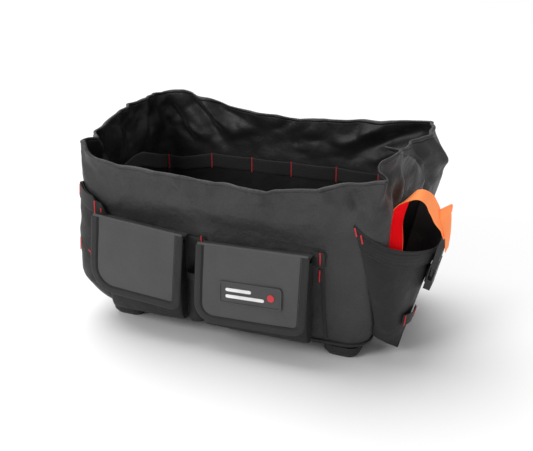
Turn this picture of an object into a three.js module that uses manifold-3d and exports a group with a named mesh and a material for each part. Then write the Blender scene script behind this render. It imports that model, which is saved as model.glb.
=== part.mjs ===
// Garden tool bag: a soft open-topped tool carrier with flapped front pockets,
// a left end pocket, and a cone-shaped side pouch closed by a buckled strap.
// Units are millimetres and +Z is up. The bag's front faces -Y.
import * as THREE from 'three';
import { mergeVertices } from 'three/addons/utils/BufferGeometryUtils.js';
import Module from 'manifold-3d';

const wasm = await Module();
wasm.setup();

// ---------------------------------------------------------------- driving sizes
const GAP = 0.4; // clearance between neighbouring pieces
const CLOTH = 2.6; // thickness of the padded wall fabric
const THIN = 1.4; // thickness of webbing and single-layer fabric
const WEBBING = 25; // width of every webbing band

const BODY = {
  // half width and half depth of the body at four heights
  heights: [20, 70, 150, 300],
  halfWidth: [214, 232, 238, 240],
  halfDepth: [128, 136, 140, 141],
  cornerRadius: 30,
  wallBottom: 22.4,
};

// rim height against distance along each wall, corner to corner
const RIM = {
  front: [[-240, 291], [-208, 271], [-164, 265.5], [-84, 262], [31, 257.5], [70, 255],
    [140, 269], [180, 281], [240, 296]],
  right: [[-141, 296], [-60, 308], [0, 292], [80, 290], [141, 293]],
  back: [[-240, 294], [-157, 284], [-19, 272], [15, 273], [110, 280], [149, 291],
    [196, 299], [240, 296]],
  left: [[-141, 295], [-34, 299], [18, 301], [57, 289], [106, 284], [141, 290]],
};

// the collar's outward slump at the rear right: centre, spread and reach
const SLUMP = { y: 100, z: 245, spreadY: 80, spreadZ: 48, reach: 33, startX: 165, endX: 240 };

const BASE = { bottom: 18, thickness: 4, boardThickness: 3, boardInset: 8 };
const FOOT = { length: 54, depth: 46, height: 17.6, insetX: 205, insetY: 128, taper: 5 };

const POCKET = {
  bottom: 28,
  top: 158,
  depth: 23,
  belly: 52,
  bottomDepth: 12,
};
const POCKET_LEFT = { x0: -186, x1: -62 };
const POCKET_RIGHT = { x0: -26, x1: 138 };
const HEM = { height: WEBBING, thickness: THIN };

const SLEEVE = { x0: -57, x1: -31, bottom: 30, top: 112, depth: 15 };

const FLAP_LEFT = { x: -128.5, creaseZ: 180.5, width: 152, height: 118, roll: 4.4 };
const FLAP_RIGHT = { x: 55, creaseZ: 171, width: 174, height: 121, roll: -2.0 };
const FLAP = {
  thickness: 3,
  bindingThickness: 4.2,
  bindingWidth: 12,
  cornerRadius: 24,
  tilt: 6.5, // degrees the panel stands out from vertical
  creaseY: -164.5,
  seamY: -144,
  seamDrop: 4,
};
const PATCH = { width: 70, height: 24, thickness: 1.1, drop: 45 };
const BADGE = { x: -1, drop: 67, width: 97, height: 34, thickness: 2.6, rim: 2.5, recess: 0.9 };

const END_POCKET = { from: -152, to: 70, bottom: 30, top: 211, frontTop: 188, bulge: 8 };
const TOOL_LOOP = { from: -112, to: -62, z: 118, bulge: 8, width: 22 };

// three lines up the side pouch, from its bottom to its rim, evenly spaced
const POUCH = {
  front: [[219, -108, 24], [225, -130, 73], [217, -143, 123], [206, -148, 172], [198, -150, 222]],
  rear: [[219.5, -52, 20], [236, -24, 70], [240.5, 5, 121], [246.5, 22, 162], [259, 34, 204]],
  outer: [[257, -84, 9], [289, -38, 170]],
  fullness: 0.62, // below 1 the plan is fuller than half an ellipse
};
const POUCH_WALL = 2.2;
const POUCH_HEM = 22; // height of the webbing hem below the rim
const POUCH_LOOP = { z: 62, height: 20, width: 26 };

const BUCKLE = {
  bottom: [286, -40, 99], // outer end of the socket's webbing bar
  lean: 13, // degrees the buckle leans outwards
  width: 32,
  thickness: 10.5,
  socketLength: 45,
  wall: 2.4,
  barDepth: 9,
  plugLength: 28,
  prongLength: 26,
};

const STRAP = {
  width: WEBBING,
  thickness: 1.5,
  // centre line from the wall inside the pouch, over the top, down to the ladder bar
  route: [
    [247.6, -88, 170], [247.6, -88, 194], [248.5, -87, 216], [254, -81, 236], [265, -69, 250],
    [279, -57, 252], [292, -48, 239], [300, -43, 218], [304.5, -40, 192],
  ],
  start: [0.65, 0.76], // width direction (x, y) at the wall
  end: [-0.15, 1], // width direction at the buckle
};
const TAIL = {
  route: [[308.4, -40, 187], [307.6, -41, 204], [307.5, -43, 222], [312, -44, 236]],
  start: [-0.15, 1],
  end: [0.2, 0.98],
};

// slip pockets inside: height range, stand-off from the wall and seam positions
const INNER = { top: 198, bottom: 60, stand: 8, seams: [-197, -146, -68, 8, 86, 164, 197] };
const INNER_SIDE = { top: 210, bottom: 60, stand: 8, from: -62, to: 96 };
const INNER_BACK_FACE = 131.2; // the back wall's inner face at the slip pockets' bottom
const INNER_SIDE_FACE = 225.2; // the same on the left and right walls

// moves the whole bag so that the middle of its footprint is the origin
const FRAME_SHIFT = [-29.1, 20.6, 0];

// ---------------------------------------------------------------- colours
const COLOURS = {
  fabric: { color: 0x2b2b2c, roughness: 0.75 },
  lining: { color: 0x1d1d1e, roughness: 0.8 },
  flap: { color: 0x353535, roughness: 0.7 },
  webbing: { color: 0x1a1a1b, roughness: 0.85 },
  rubber: { color: 0x141414, roughness: 0.6 },
  plastic: { color: 0x2a2a2b, roughness: 0.45 },
  strap: { color: 0xff5a1f, roughness: 0.7 },
  badge: { color: 0x3a3a3b, roughness: 0.6 },
};

const group = new THREE.Group();

function add(name, geometry, colour) {
  const material = new THREE.MeshStandardMaterial({ ...COLOURS[colour], metalness: 0 });
  const mesh = new THREE.Mesh(geometry, material);
  mesh.name = name;
  group.add(mesh);
}

// ---------------------------------------------------------------- shape helpers
const vec = (x, y, z) => new THREE.Vector3(x, y, z);
const mix = (a, b, t) => a + (b - a) * t;
const degrees = (angle) => (angle * Math.PI) / 180;

function interpolate(table, value) {
  if (value <= table[0][0]) return table[0][1];
  for (let i = 1; i < table.length; i += 1) {
    const [x0, y0] = table[i - 1];
    const [x1, y1] = table[i];
    if (value <= x1) return mix(y0, y1, (value - x0) / (x1 - x0));
  }
  return table[table.length - 1][1];
}

function signedVolume(positions, index) {
  let total = 0;
  const corner = (i) => vec(positions[3 * i], positions[3 * i + 1], positions[3 * i + 2]);
  for (let i = 0; i < index.length; i += 3) {
    const a = corner(index[i]);
    const b = corner(index[i + 1]);
    const c = corner(index[i + 2]);
    total += a.dot(b.cross(c));
  }
  return total / 6;
}

function closedGeometry(positions, index) {
  const outward = signedVolume(positions, index) > 0;
  const faces = outward ? index : index.slice().reverse();
  const geometry = new THREE.BufferGeometry();
  geometry.setAttribute('position', new THREE.Float32BufferAttribute(positions, 3));
  geometry.setIndex(faces);
  return geometry;
}

// a closed slab between two surfaces, each a function of (u, v) from 0 to 1
function slab(columns, rows, outer, inner) {
  const positions = [];
  const index = [];
  const width = columns + 1;
  for (const surface of [outer, inner]) {
    for (let j = 0; j <= rows; j += 1) {
      for (let i = 0; i <= columns; i += 1) {
        positions.push(...surface(i / columns, j / rows).toArray());
      }
    }
  }
  const layer = width * (rows + 1);
  const at = (side, i, j) => side * layer + j * width + i;
  const quad = (a, b, c, d) => index.push(a, b, c, a, c, d);
  for (let j = 0; j < rows; j += 1) {
    for (let i = 0; i < columns; i += 1) {
      quad(at(0, i, j), at(0, i + 1, j), at(0, i + 1, j + 1), at(0, i, j + 1));
      quad(at(1, i, j), at(1, i, j + 1), at(1, i + 1, j + 1), at(1, i + 1, j));
    }
  }
  for (let i = 0; i < columns; i += 1) {
    quad(at(0, i, 0), at(1, i, 0), at(1, i + 1, 0), at(0, i + 1, 0));
    quad(at(0, i, rows), at(0, i + 1, rows), at(1, i + 1, rows), at(1, i, rows));
  }
  for (let j = 0; j < rows; j += 1) {
    quad(at(0, 0, j), at(0, 0, j + 1), at(1, 0, j + 1), at(1, 0, j));
    quad(at(0, columns, j), at(1, columns, j), at(1, columns, j + 1), at(0, columns, j + 1));
  }
  return closedGeometry(positions, index);
}

// a flat outline in (x, y), pushed along z from z0 to z1
function plate(points, z0, z1) {
  const shape = new THREE.Shape(points.map(([x, y]) => new THREE.Vector2(x, y)));
  const geometry = new THREE.ExtrudeGeometry(shape, { depth: z1 - z0, bevelEnabled: false });
  geometry.translate(0, 0, z0);
  return clean(geometry);
}

function clean(geometry) {
  geometry.deleteAttribute('normal');
  geometry.deleteAttribute('uv');
  return mergeVertices(geometry, 1e-4);
}

function box(x0, x1, y0, y1, z0, z1) {
  const geometry = new THREE.BoxGeometry(x1 - x0, y1 - y0, z1 - z0);
  geometry.translate((x0 + x1) / 2, (y0 + y1) / 2, (z0 + z1) / 2);
  return clean(geometry);
}

function toManifold(geometry) {
  const mesh = new wasm.Mesh({
    numProp: 3,
    vertProperties: Float32Array.from(geometry.attributes.position.array),
    triVerts: Uint32Array.from(geometry.index.array),
  });
  return new wasm.Manifold(mesh);
}

function fromManifold(solid) {
  const mesh = solid.getMesh();
  const geometry = new THREE.BufferGeometry();
  const positions = new THREE.Float32BufferAttribute(mesh.vertProperties, 3);
  geometry.setAttribute('position', positions);
  geometry.setIndex(Array.from(mesh.triVerts));
  return geometry;
}

function union(...geometries) {
  const solids = geometries.map(toManifold);
  return fromManifold(solids.reduce((a, b) => a.add(b)));
}

function subtract(geometry, ...tools) {
  const solid = tools.map(toManifold).reduce((a, b) => a.subtract(b), toManifold(geometry));
  return fromManifold(solid);
}

function roundedRectangle(halfWidth, halfDepth, radius, steps = 4) {
  const points = [];
  const corners = [[1, 1, 0], [-1, 1, 90], [-1, -1, 180], [1, -1, 270]];
  for (const [sx, sy, start] of corners) {
    for (let i = 0; i <= steps; i += 1) {
      const angle = degrees(start + (90 * i) / steps);
      const x = sx * (halfWidth - radius) + radius * Math.cos(angle);
      const y = sy * (halfDepth - radius) + radius * Math.sin(angle);
      points.push([x, y]);
    }
  }
  return points;
}

// a flat band along a route: each station has a centre, a width direction and a normal
function band(stations, width, thickness) {
  const count = stations.length - 1;
  const surface = (side) => (u, v) => {
    const { centre, across, normal } = stations[Math.round(u * count)];
    return centre
      .clone()
      .addScaledVector(across, (v - 0.5) * width)
      .addScaledVector(normal, side * thickness * 0.5);
  };
  return slab(count, 1, surface(1), surface(-1));
}

// stations along a list of points, with the width direction turning from start to end
function routeStations(points, start, end) {
  const centres = points.map((p) => vec(...p));
  return centres.map((centre, i) => {
    const before = centres[Math.max(i - 1, 0)];
    const after = centres[Math.min(i + 1, centres.length - 1)];
    const along = after.clone().sub(before).normalize();
    const t = i / (centres.length - 1);
    const across = vec(mix(start[0], end[0], t), mix(start[1], end[1], t), 0);
    across.addScaledVector(along, -across.dot(along)).normalize();
    const normal = along.clone().cross(across).normalize();
    return { centre, across, normal };
  });
}

// ---------------------------------------------------------------- body walls
const SIDES = {
  front: { along: [1, 0], out: [0, -1] },
  right: { along: [0, 1], out: [1, 0] },
  back: { along: [-1, 0], out: [0, 1] },
  left: { along: [0, -1], out: [-1, 0] },
};
const CORNER_SHARE = 0.12; // share of half a wall's grid that covers its half corner

function bodyHalf(z, key) {
  return interpolate(BODY.heights.map((h, i) => [h, BODY[key][i]]), z);
}

function slump(point) {
  const side = (point.x - SLUMP.startX) / (SLUMP.endX - SLUMP.startX);
  const share = Math.min(Math.max(side, 0), 1);
  const dy = (point.y - SLUMP.y) / SLUMP.spreadY;
  const dz = (point.z - SLUMP.z) / SLUMP.spreadZ;
  point.x += SLUMP.reach * share ** 2 * Math.exp(-dy * dy - dz * dz);
  return point;
}

// a point on the body's plan at height z; s runs from -1 to 1 along the side
function planPoint(sideName, s, z, inset) {
  const { along, out } = SIDES[sideName];
  const wide = sideName === 'front' || sideName === 'back';
  const half = bodyHalf(z, wide ? 'halfWidth' : 'halfDepth');
  const reach = bodyHalf(z, wide ? 'halfDepth' : 'halfWidth');
  const radius = BODY.cornerRadius;
  const straight = 1 - CORNER_SHARE;
  const sign = Math.sign(s) || 1;
  let distance = (s / straight) * (half - radius);
  let stand = reach - inset;
  if (Math.abs(s) > straight) {
    const arc = degrees(44.2) * ((Math.abs(s) - straight) / CORNER_SHARE);
    distance = sign * (half - radius + (radius - inset) * Math.sin(arc));
    stand = reach - radius + (radius - inset) * Math.cos(arc);
  }
  const x = along[0] * distance + out[0] * stand;
  const y = along[1] * distance + out[1] * stand;
  return slump(vec(x, y, z));
}

function wall(sideName, columns) {
  const wide = sideName === 'front' || sideName === 'back';
  const halfSpan = wide ? 240 : 141;
  const straight = 1 - CORNER_SHARE;
  const spread = (u) => {
    const s = 2 * u - 1;
    const edge = 1 - 4 / columns;
    if (Math.abs(s) <= edge) return (s / edge) * straight;
    return Math.sign(s) * mix(straight, 1, (Math.abs(s) - edge) / (1 - edge));
  };
  const surface = (inset) => (u, v) => {
    const s = spread(u);
    const top = interpolate(RIM[sideName], s * halfSpan);
    return planPoint(sideName, s, mix(BODY.wallBottom, top, v), inset);
  };
  return slab(columns, 7, surface(0), surface(CLOTH));
}

function addBody() {
  add('front_wall', wall('front', 20), 'fabric');
  add('right_wall', wall('right', 16), 'fabric');
  add('back_wall', wall('back', 20), 'fabric');
  add('left_wall', wall('left', 16), 'fabric');
}

function addBase() {
  const baseTop = BASE.bottom + BASE.thickness;
  const outline = roundedRectangle(213, 127, BODY.cornerRadius);
  add('base_panel', plate(outline, BASE.bottom, baseTop), 'rubber');
  const board = roundedRectangle(213 - BASE.boardInset, 127 - BASE.boardInset, 22);
  const boardBottom = baseTop + GAP;
  add('base_board', plate(board, boardBottom, boardBottom + BASE.boardThickness), 'lining');
}

function foot() {
  const halfLength = FOOT.length / 2;
  const halfDepth = FOOT.depth / 2;
  const top = roundedRectangle(halfLength, halfDepth, 14, 3);
  const bottom = roundedRectangle(halfLength - FOOT.taper, halfDepth - FOOT.taper, 11, 3);
  const count = top.length;
  const positions = [];
  const index = [];
  for (const [points, z] of [[bottom, 0], [top, FOOT.taper * 1.4], [top, FOOT.height]]) {
    for (const [x, y] of points) positions.push(x, y, z);
  }
  for (let ring = 0; ring < 2; ring += 1) {
    for (let i = 0; i < count; i += 1) {
      const next = (i + 1) % count;
      const a = ring * count + i;
      const b = ring * count + next;
      index.push(a, b, b + count, a, b + count, a + count);
    }
  }
  for (let i = 1; i < count - 1; i += 1) {
    index.push(0, i + 1, i);
    index.push(2 * count, 2 * count + i, 2 * count + i + 1);
  }
  return closedGeometry(positions, index);
}

function addFeet() {
  for (const [frontBack, sy] of [['front', -1], ['back', 1]]) {
    for (const [leftRight, sx] of [['left', -1], ['right', 1]]) {
      const geometry = foot();
      const x = sx * (FOOT.insetX - FOOT.length / 2);
      const y = sy * (FOOT.insetY - FOOT.depth / 2);
      geometry.translate(x, y, 0);
      add(`foot_${frontBack}_${leftRight}`, geometry, 'rubber');
    }
  }
}

// ---------------------------------------------------------------- inside
function addInnerBack() {
  const face = INNER_BACK_FACE - INNER.stand;
  const first = INNER.seams[0];
  const last = INNER.seams[INNER.seams.length - 1];
  const { bottom, top } = INNER;
  const pieces = [box(first - 0.8, last + 0.8, face - THIN, face, bottom, top)];
  for (const x of INNER.seams) {
    pieces.push(box(x - 0.8, x + 0.8, face - 0.2, INNER_BACK_FACE, bottom, top));
  }
  pieces.push(box(first, last, face - 0.2, INNER_BACK_FACE, bottom, bottom + 1.6));
  add('inner_pocket_back', union(...pieces), 'lining');
  const front = face - THIN - GAP;
  const webbing = box(first, last, front - THIN, front, top - WEBBING, top);
  add('inner_webbing_back', webbing, 'webbing');
}

function addInnerSide(name, sx) {
  const face = INNER_SIDE_FACE - INNER_SIDE.stand;
  const { from, to, top, bottom } = INNER_SIDE;
  const spanX = (near, far) => (sx > 0 ? [near, far] : [-far, -near]);
  const panel = box(...spanX(face - THIN, face), from, to, bottom, top);
  const pieces = [panel];
  for (const y of [from, (from + to) / 2 - 1, to - 2]) {
    pieces.push(box(...spanX(face - 0.2, INNER_SIDE_FACE), y, y + 2, bottom, top));
  }
  pieces.push(box(...spanX(face - 0.2, INNER_SIDE_FACE), from, to, bottom, bottom + 1.6));
  add(`inner_pocket_${name}`, union(...pieces), 'lining');
  const edge = face - THIN - GAP;
  const band0 = box(...spanX(edge - THIN, edge), from, to, top - WEBBING, top);
  add(`inner_webbing_${name}`, band0, 'webbing');
}

// ---------------------------------------------------------------- front pockets
function pocketPanel(x0, x1) {
  const wallY = -140 - GAP - 0.6;
  const front = -140 - POCKET.depth;
  const outer = [
    [wallY, POCKET.bottom], [-140 - POCKET.bottomDepth, POCKET.bottom],
    [front, POCKET.belly], [front, POCKET.top],
  ];
  const inner = [
    [front + CLOTH, POCKET.top], [front + CLOTH, POCKET.belly + 1],
    [-140 - POCKET.bottomDepth + 1, POCKET.bottom + CLOTH], [wallY, POCKET.bottom + CLOTH],
  ];
  const skin = plate([...outer, ...inner], 0, x1 - x0);
  const cheek = plate([...outer, [wallY, POCKET.top]], 0, CLOTH);
  const pieces = [skin, cheek, cheek.clone().translate(0, 0, x1 - x0 - CLOTH)];
  // the outline's (x, y, z) become the bag's (y, z, x)
  const turn = new THREE.Matrix4().set(0, 0, 1, x0, 1, 0, 0, 0, 0, 1, 0, 0, 0, 0, 0, 1);
  return union(...pieces).applyMatrix4(turn);
}

function addFrontPocket(name, { x0, x1 }) {
  add(`front_pocket_${name}`, pocketPanel(x0, x1), 'fabric');
  const face = -140 - POCKET.depth - GAP;
  const hem = box(x0, x1, face - HEM.thickness, face, POCKET.top - HEM.height, POCKET.top);
  add(`front_hem_${name}`, hem, 'webbing');
}

function addSleeve() {
  const wallY = -140 - GAP - 0.6;
  const { x0, x1, bottom, top, depth } = SLEEVE;
  const outside = box(x0, x1, -140 - depth, wallY, bottom, top);
  const inside = box(x0 + 2, x1 - 2, -140 - depth + 2, wallY + 5, bottom + 3, top + 5);
  add('pen_sleeve', subtract(outside, inside), 'fabric');
}

// ---------------------------------------------------------------- flaps
// a flap's own frame: x along the crease, y up the panel, z out of its face
function flapMatrix({ x, creaseZ, roll }) {
  const place = new THREE.Matrix4().makeTranslation(x, FLAP.creaseY, creaseZ);
  const rolled = new THREE.Matrix4().makeRotationY(degrees(roll));
  const hang = new THREE.Matrix4().makeRotationX(degrees(90 - FLAP.tilt));
  return place.multiply(rolled).multiply(hang);
}

// half a flap's outline down one side and round its lower corner
function flapEdge(halfWidth, height, radius, sign) {
  const points = [];
  for (let i = 0; i <= 5; i += 1) {
    const angle = degrees(18 * i);
    const x = halfWidth - radius + radius * Math.cos(angle);
    const drop = height - radius + radius * Math.sin(angle);
    points.push([sign * x, -drop]);
  }
  return sign > 0 ? points : points.reverse();
}

function flapOutline(halfWidth, height, radius, top) {
  const right = flapEdge(halfWidth, height, radius, 1);
  const left = flapEdge(halfWidth, height, radius, -1);
  return [[halfWidth, -top], ...right, ...left, [-halfWidth, -top]];
}

function addFlap(name, size) {
  const matrix = flapMatrix(size);
  const half = size.width / 2;
  const tape = FLAP.bindingWidth;
  const innerRadius = FLAP.cornerRadius - tape;
  const lift = 1.0; // inner face's stand-off from the crease line
  const panelHalf = half - tape - GAP;
  const panelHeight = size.height - tape - GAP;
  const panel = flapOutline(panelHalf, panelHeight, innerRadius, 1);
  const sheet = plate(panel, lift, lift + FLAP.thickness).applyMatrix4(matrix);
  add(`flap_${name}_panel`, sheet, 'flap');

  const outside = flapOutline(half, size.height, FLAP.cornerRadius, 1);
  const inside = flapOutline(half - tape, size.height - tape, innerRadius, -20);
  const tapeFrom = lift - 0.5;
  const tapeTo = tapeFrom + FLAP.bindingThickness;
  const frame = subtract(plate(outside, tapeFrom, tapeTo), plate(inside, -5, 12));
  add(`flap_${name}_binding`, frame.applyMatrix4(matrix), 'webbing');

  const hook = box(
    -PATCH.width / 2, PATCH.width / 2,
    -PATCH.drop - PATCH.height, -PATCH.drop,
    lift - GAP - PATCH.thickness, lift - GAP,
  );
  add(`hook_patch_${name}`, hook.applyMatrix4(matrix), 'webbing');

  const loopFace = -140 - POCKET.depth - GAP;
  const loopTop = POCKET.top - HEM.height - 2;
  const loop = box(
    size.x - PATCH.width / 2, size.x + PATCH.width / 2,
    loopFace - PATCH.thickness, loopFace,
    loopTop - PATCH.height, loopTop,
  );
  add(`loop_patch_${name}`, loop, 'webbing');

  // the strip between the wall seam and the crease
  const out = FLAP.seamY - FLAP.creaseY;
  const roll = new THREE.Matrix4().makeRotationY(degrees(size.roll));
  const place = new THREE.Matrix4().makeTranslation(size.x, FLAP.creaseY, size.creaseZ);
  const slope = [[1.8, 0.9], [1.8, -1.1], [out - 0.6, -1.1 - FLAP.seamDrop], [out - 0.6, 0.9 - FLAP.seamDrop]];
  const strip = plate(slope, -half + 1, half - 1);
  const turn = new THREE.Matrix4().set(0, 0, 1, 0, 1, 0, 0, 0, 0, 1, 0, 0, 0, 0, 0, 1);
  strip.applyMatrix4(turn).applyMatrix4(place.multiply(roll));
  add(`flap_${name}_top`, strip, 'flap');
}

function addBadge() {
  const matrix = flapMatrix(FLAP_RIGHT);
  const face = 1.0 + FLAP.thickness + GAP;
  const halfWidth = BADGE.width / 2;
  const halfHeight = BADGE.height / 2;
  const outline = roundedRectangle(halfWidth, halfHeight, 5, 3);
  const recess = roundedRectangle(halfWidth - BADGE.rim, halfHeight - BADGE.rim, 3, 3);
  const top = face + BADGE.thickness;
  const plateBody = plate(outline, face, top);
  const badge = subtract(plateBody, plate(recess, top - BADGE.recess, top + 5));
  badge.translate(BADGE.x, -BADGE.drop, 0);
  add('badge', badge.applyMatrix4(matrix), 'badge');
}

// ---------------------------------------------------------------- left end
// distance along the left end, measured from the back, mapped onto the plan
function endPocketSurface(offset) {
  return (u, v) => {
    const y = mix(END_POCKET.to, END_POCKET.from, u);
    const rise = interpolate([[-152, END_POCKET.frontTop], [-120, END_POCKET.top], [70, END_POCKET.top]], y);
    const z = mix(END_POCKET.bottom, rise, v);
    const s = interpolate([[-152, 1], [-110, 1 - CORNER_SHARE], [110, -1 + CORNER_SHARE]], y);
    const bulge = END_POCKET.bulge * Math.sin(Math.PI * u) ** 0.5 * mix(0.7, 1, v);
    return planPoint('left', s, z, -1.5 * GAP - bulge - offset);
  };
}

function addEndPocket() {
  const cloth = slab(16, 5, endPocketSurface(CLOTH), endPocketSurface(0));
  add('end_pocket', cloth, 'fabric');
  const hemRows = (offset) => {
    const surface = endPocketSurface(offset);
    const share = 1 - HEM.height / (END_POCKET.top - END_POCKET.bottom);
    return (u, v) => surface(u, mix(share, 1, v));
  };
  const hem = slab(16, 1, hemRows(CLOTH + GAP + THIN), hemRows(CLOTH + GAP));
  add('end_pocket_hem', hem, 'webbing');
}

function addToolLoop() {
  const { from, to, z, bulge, width } = TOOL_LOOP;
  const face = -(bodyHalf(z, 'halfWidth') + END_POCKET.bulge + CLOTH + 2 * GAP + 0.6);
  const surface = (offset) => (u, v) => {
    const arch = bulge * Math.sin(Math.PI * u);
    return vec(face - arch - offset, mix(from, to, u), z + (v - 0.5) * width);
  };
  add('tool_loop', slab(10, 1, surface(THIN), surface(0)), 'webbing');
}

// ---------------------------------------------------------------- side pouch
// a point at share v along an evenly spaced line of points
function alongLine(points, v) {
  const place = v * (points.length - 1);
  const low = Math.min(Math.floor(place), points.length - 2);
  return vec(...points[low]).lerp(vec(...points[low + 1]), place - low);
}

// u runs from the front edge round the outside to the rear edge, v from bottom to rim
function pouchPoint(u, v, offset) {
  const front = alongLine(POUCH.front, v);
  const rear = alongLine(POUCH.rear, v);
  const outer = alongLine(POUCH.outer, v);
  const angle = Math.PI * u;
  const rise = Math.max(Math.sin(angle), 0) ** POUCH.fullness;
  const centre = front.clone().add(rear).multiplyScalar(0.5);
  const halfChord = rear.clone().sub(front).multiplyScalar(0.5);
  const bulge = outer.clone().sub(centre);
  const point = centre
    .clone()
    .addScaledVector(halfChord, -Math.cos(angle))
    .addScaledVector(bulge, rise);
  const outward = vec(0, 0, 0)
    .addScaledVector(halfChord, -Math.cos(angle) / Math.max(halfChord.length(), 1))
    .addScaledVector(bulge, Math.sin(angle) / Math.max(bulge.length(), 1));
  outward.z = 0;
  outward.normalize();
  return point.addScaledVector(outward, offset);
}

const POUCH_FROM = 0.02;
const POUCH_TO = 0.98;

function addPouch() {
  const around = (u) => mix(POUCH_FROM, POUCH_TO, u);
  const outside = (u, v) => pouchPoint(around(u), v, 0);
  const inside = (u, v) => pouchPoint(around(u), v, -POUCH_WALL);
  add('side_pouch', slab(16, 6, outside, inside), 'fabric');

  const share = 1 - POUCH_HEM / 165;
  const hemOutside = (u, v) => pouchPoint(around(u), mix(share, 1, v), 2 * GAP + THIN);
  const hemInside = (u, v) => pouchPoint(around(u), mix(share, 1, v), 2 * GAP);
  add('side_pouch_hem', slab(16, 2, hemOutside, hemInside), 'webbing');
}

function addPouchBottom() {
  const level = 0.07;
  const thickness = 0.018;
  const floor = (v) => (u, w) => {
    const rim = pouchPoint(mix(0.06, 0.94, u), v, -POUCH_WALL - 1);
    const front = pouchPoint(0.06, v, -POUCH_WALL - 1);
    const rear = pouchPoint(0.94, v, -POUCH_WALL - 1);
    const chord = front.lerp(rear, u);
    return chord.lerp(rim, mix(0.05, 1, w));
  };
  add('side_pouch_bottom', slab(8, 1, floor(level), floor(level + thickness)), 'fabric');
}

function addPouchLoop() {
  const v0 = (POUCH_LOOP.z - 10) / 165;
  const v1 = (POUCH_LOOP.z + 10) / 165;
  const surface = (thick) => (u, v) => {
    const arch = 4.5 * Math.sin(Math.PI * u);
    return pouchPoint(mix(0.4, 0.6, u), mix(v0, v1, v), GAP + 0.4 + arch + thick);
  };
  add('pouch_loop', slab(8, 1, surface(THIN), surface(0)), 'webbing');
}

// ---------------------------------------------------------------- buckle
// the buckle's own frame: x across, y through its thickness, z up its length
function buckleMatrix() {
  const place = new THREE.Matrix4().makeTranslation(...BUCKLE.bottom);
  const lean = new THREE.Matrix4().makeRotationY(degrees(BUCKLE.lean));
  const face = new THREE.Matrix4().makeRotationZ(degrees(90));
  return place.multiply(lean).multiply(face);
}

function addSocket() {
  const half = BUCKLE.width / 2;
  const halfT = BUCKLE.thickness / 2;
  const wallT = BUCKLE.wall;
  const top = BUCKLE.socketLength;
  const shell = box(-half, half, -halfT, halfT, 0, top);
  const cavity = box(-half + wallT, half - wallT, -halfT + 2, halfT - 2, BUCKLE.barDepth + 3, top + 5);
  const slot = box(-half + 3, half - 3, -halfT - 2, halfT + 2, 3.6, BUCKLE.barDepth);
  const windowLow = BUCKLE.barDepth + 7;
  const windowHigh = top - 9;
  const windowLeft = box(-half - 2, -half + wallT + 0.5, -halfT + 1.9, halfT - 1.9, windowLow, windowHigh);
  const windowRight = box(half - wallT - 0.5, half + 2, -halfT + 1.9, halfT - 1.9, windowLow, windowHigh);
  const socket = subtract(shell, cavity, slot, windowLeft, windowRight);
  add('buckle_socket', socket.applyMatrix4(buckleMatrix()), 'plastic');
}

function addTab() {
  // webbing from the pouch, through the socket's lower slot, back onto the pouch
  const halfT = BUCKLE.thickness / 2;
  const stations = [
    [halfT + 1.6, 30], [halfT + 1.6, 17], [halfT + 1.3, 8.2], [halfT - 2.5, 6.3], [0, 6.3],
  ];
  const count = stations.length - 1;
  const across = 9.5;
  const surface = (side) => (u, v) => {
    const [y, z] = stations[Math.round(u * count)];
    const next = stations[Math.min(Math.round(u * count) + 1, count)];
    const before = stations[Math.max(Math.round(u * count) - 1, 0)];
    const dy = next[0] - before[0];
    const dz = next[1] - before[1];
    const length = Math.hypot(dy, dz);
    const half = THIN / 2;
    return vec(mix(-across, across, v), y + (side * half * dz) / length, z - (side * half * dy) / length);
  };
  const tab = slab(count, 1, surface(1), surface(-1));
  add('buckle_tab', tab.applyMatrix4(buckleMatrix()), 'webbing');
}

function addPlug() {
  const half = BUCKLE.width / 2;
  const halfT = BUCKLE.thickness / 2;
  const base = BUCKLE.socketLength + GAP;
  const top = base + BUCKLE.plugLength;
  const frame = box(-half, half, -halfT + 1, halfT - 1, base, top);
  const slotLow = box(-half + 3, half - 3, -halfT - 2, halfT + 2, base + 8, base + 13.5);
  const slotHigh = box(-half + 3, half - 3, -halfT - 2, halfT + 2, base + 18, base + 23.5);
  const tongue = box(-4, 4, -2, 2, BUCKLE.barDepth + 8, base + 2);
  const plug = union(subtract(frame, slotLow, slotHigh), tongue);
  add('buckle_plug', plug.applyMatrix4(buckleMatrix()), 'plastic');
}

function addProng(name, sign) {
  const base = BUCKLE.socketLength - GAP - 0.3;
  const low = base - BUCKLE.prongLength;
  const outer = BUCKLE.width / 2 - BUCKLE.wall - 0.5;
  const outline = [
    [outer - 0.6, base], [outer - 1.2, base - 10], [outer, low + 9],
    [outer, low + 3], [outer - 3, low], [outer - 6, low], [outer - 6, low + 8],
    [outer - 4.6, base - 10], [outer - 4, base],
  ].map(([x, z]) => [sign * x, z]);
  const prong = plate(outline, -2.1, 2.1);
  // the outline's (x, y, z) become the buckle's (x, z, -y)
  prong.rotateX(degrees(90));
  add(`prong_${name}`, prong.applyMatrix4(buckleMatrix()), 'plastic');
}

function addStrap() {
  const stations = routeStations(STRAP.route, STRAP.start, STRAP.end);
  add('strap', band(stations, STRAP.width, STRAP.thickness), 'strap');
  const tail = routeStations(TAIL.route, TAIL.start, TAIL.end);
  add('strap_tail', band(tail, STRAP.width - 1, STRAP.thickness), 'strap');
}

// ---------------------------------------------------------------- assembly
addBody();
addBase();
addFeet();
addInnerBack();
addInnerSide('left', -1);
addInnerSide('right', 1);
addFrontPocket('left', POCKET_LEFT);
addFrontPocket('right', POCKET_RIGHT);
addSleeve();
addFlap('left', FLAP_LEFT);
addFlap('right', FLAP_RIGHT);
addBadge();
addEndPocket();
addToolLoop();
addPouch();
addPouchBottom();
addPouchLoop();
addSocket();
addTab();
addPlug();
addProng('front', -1);
addProng('rear', 1);
addStrap();

for (const mesh of group.children) {
  mesh.geometry.translate(...FRAME_SHIFT);
}

export default group;
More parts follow.
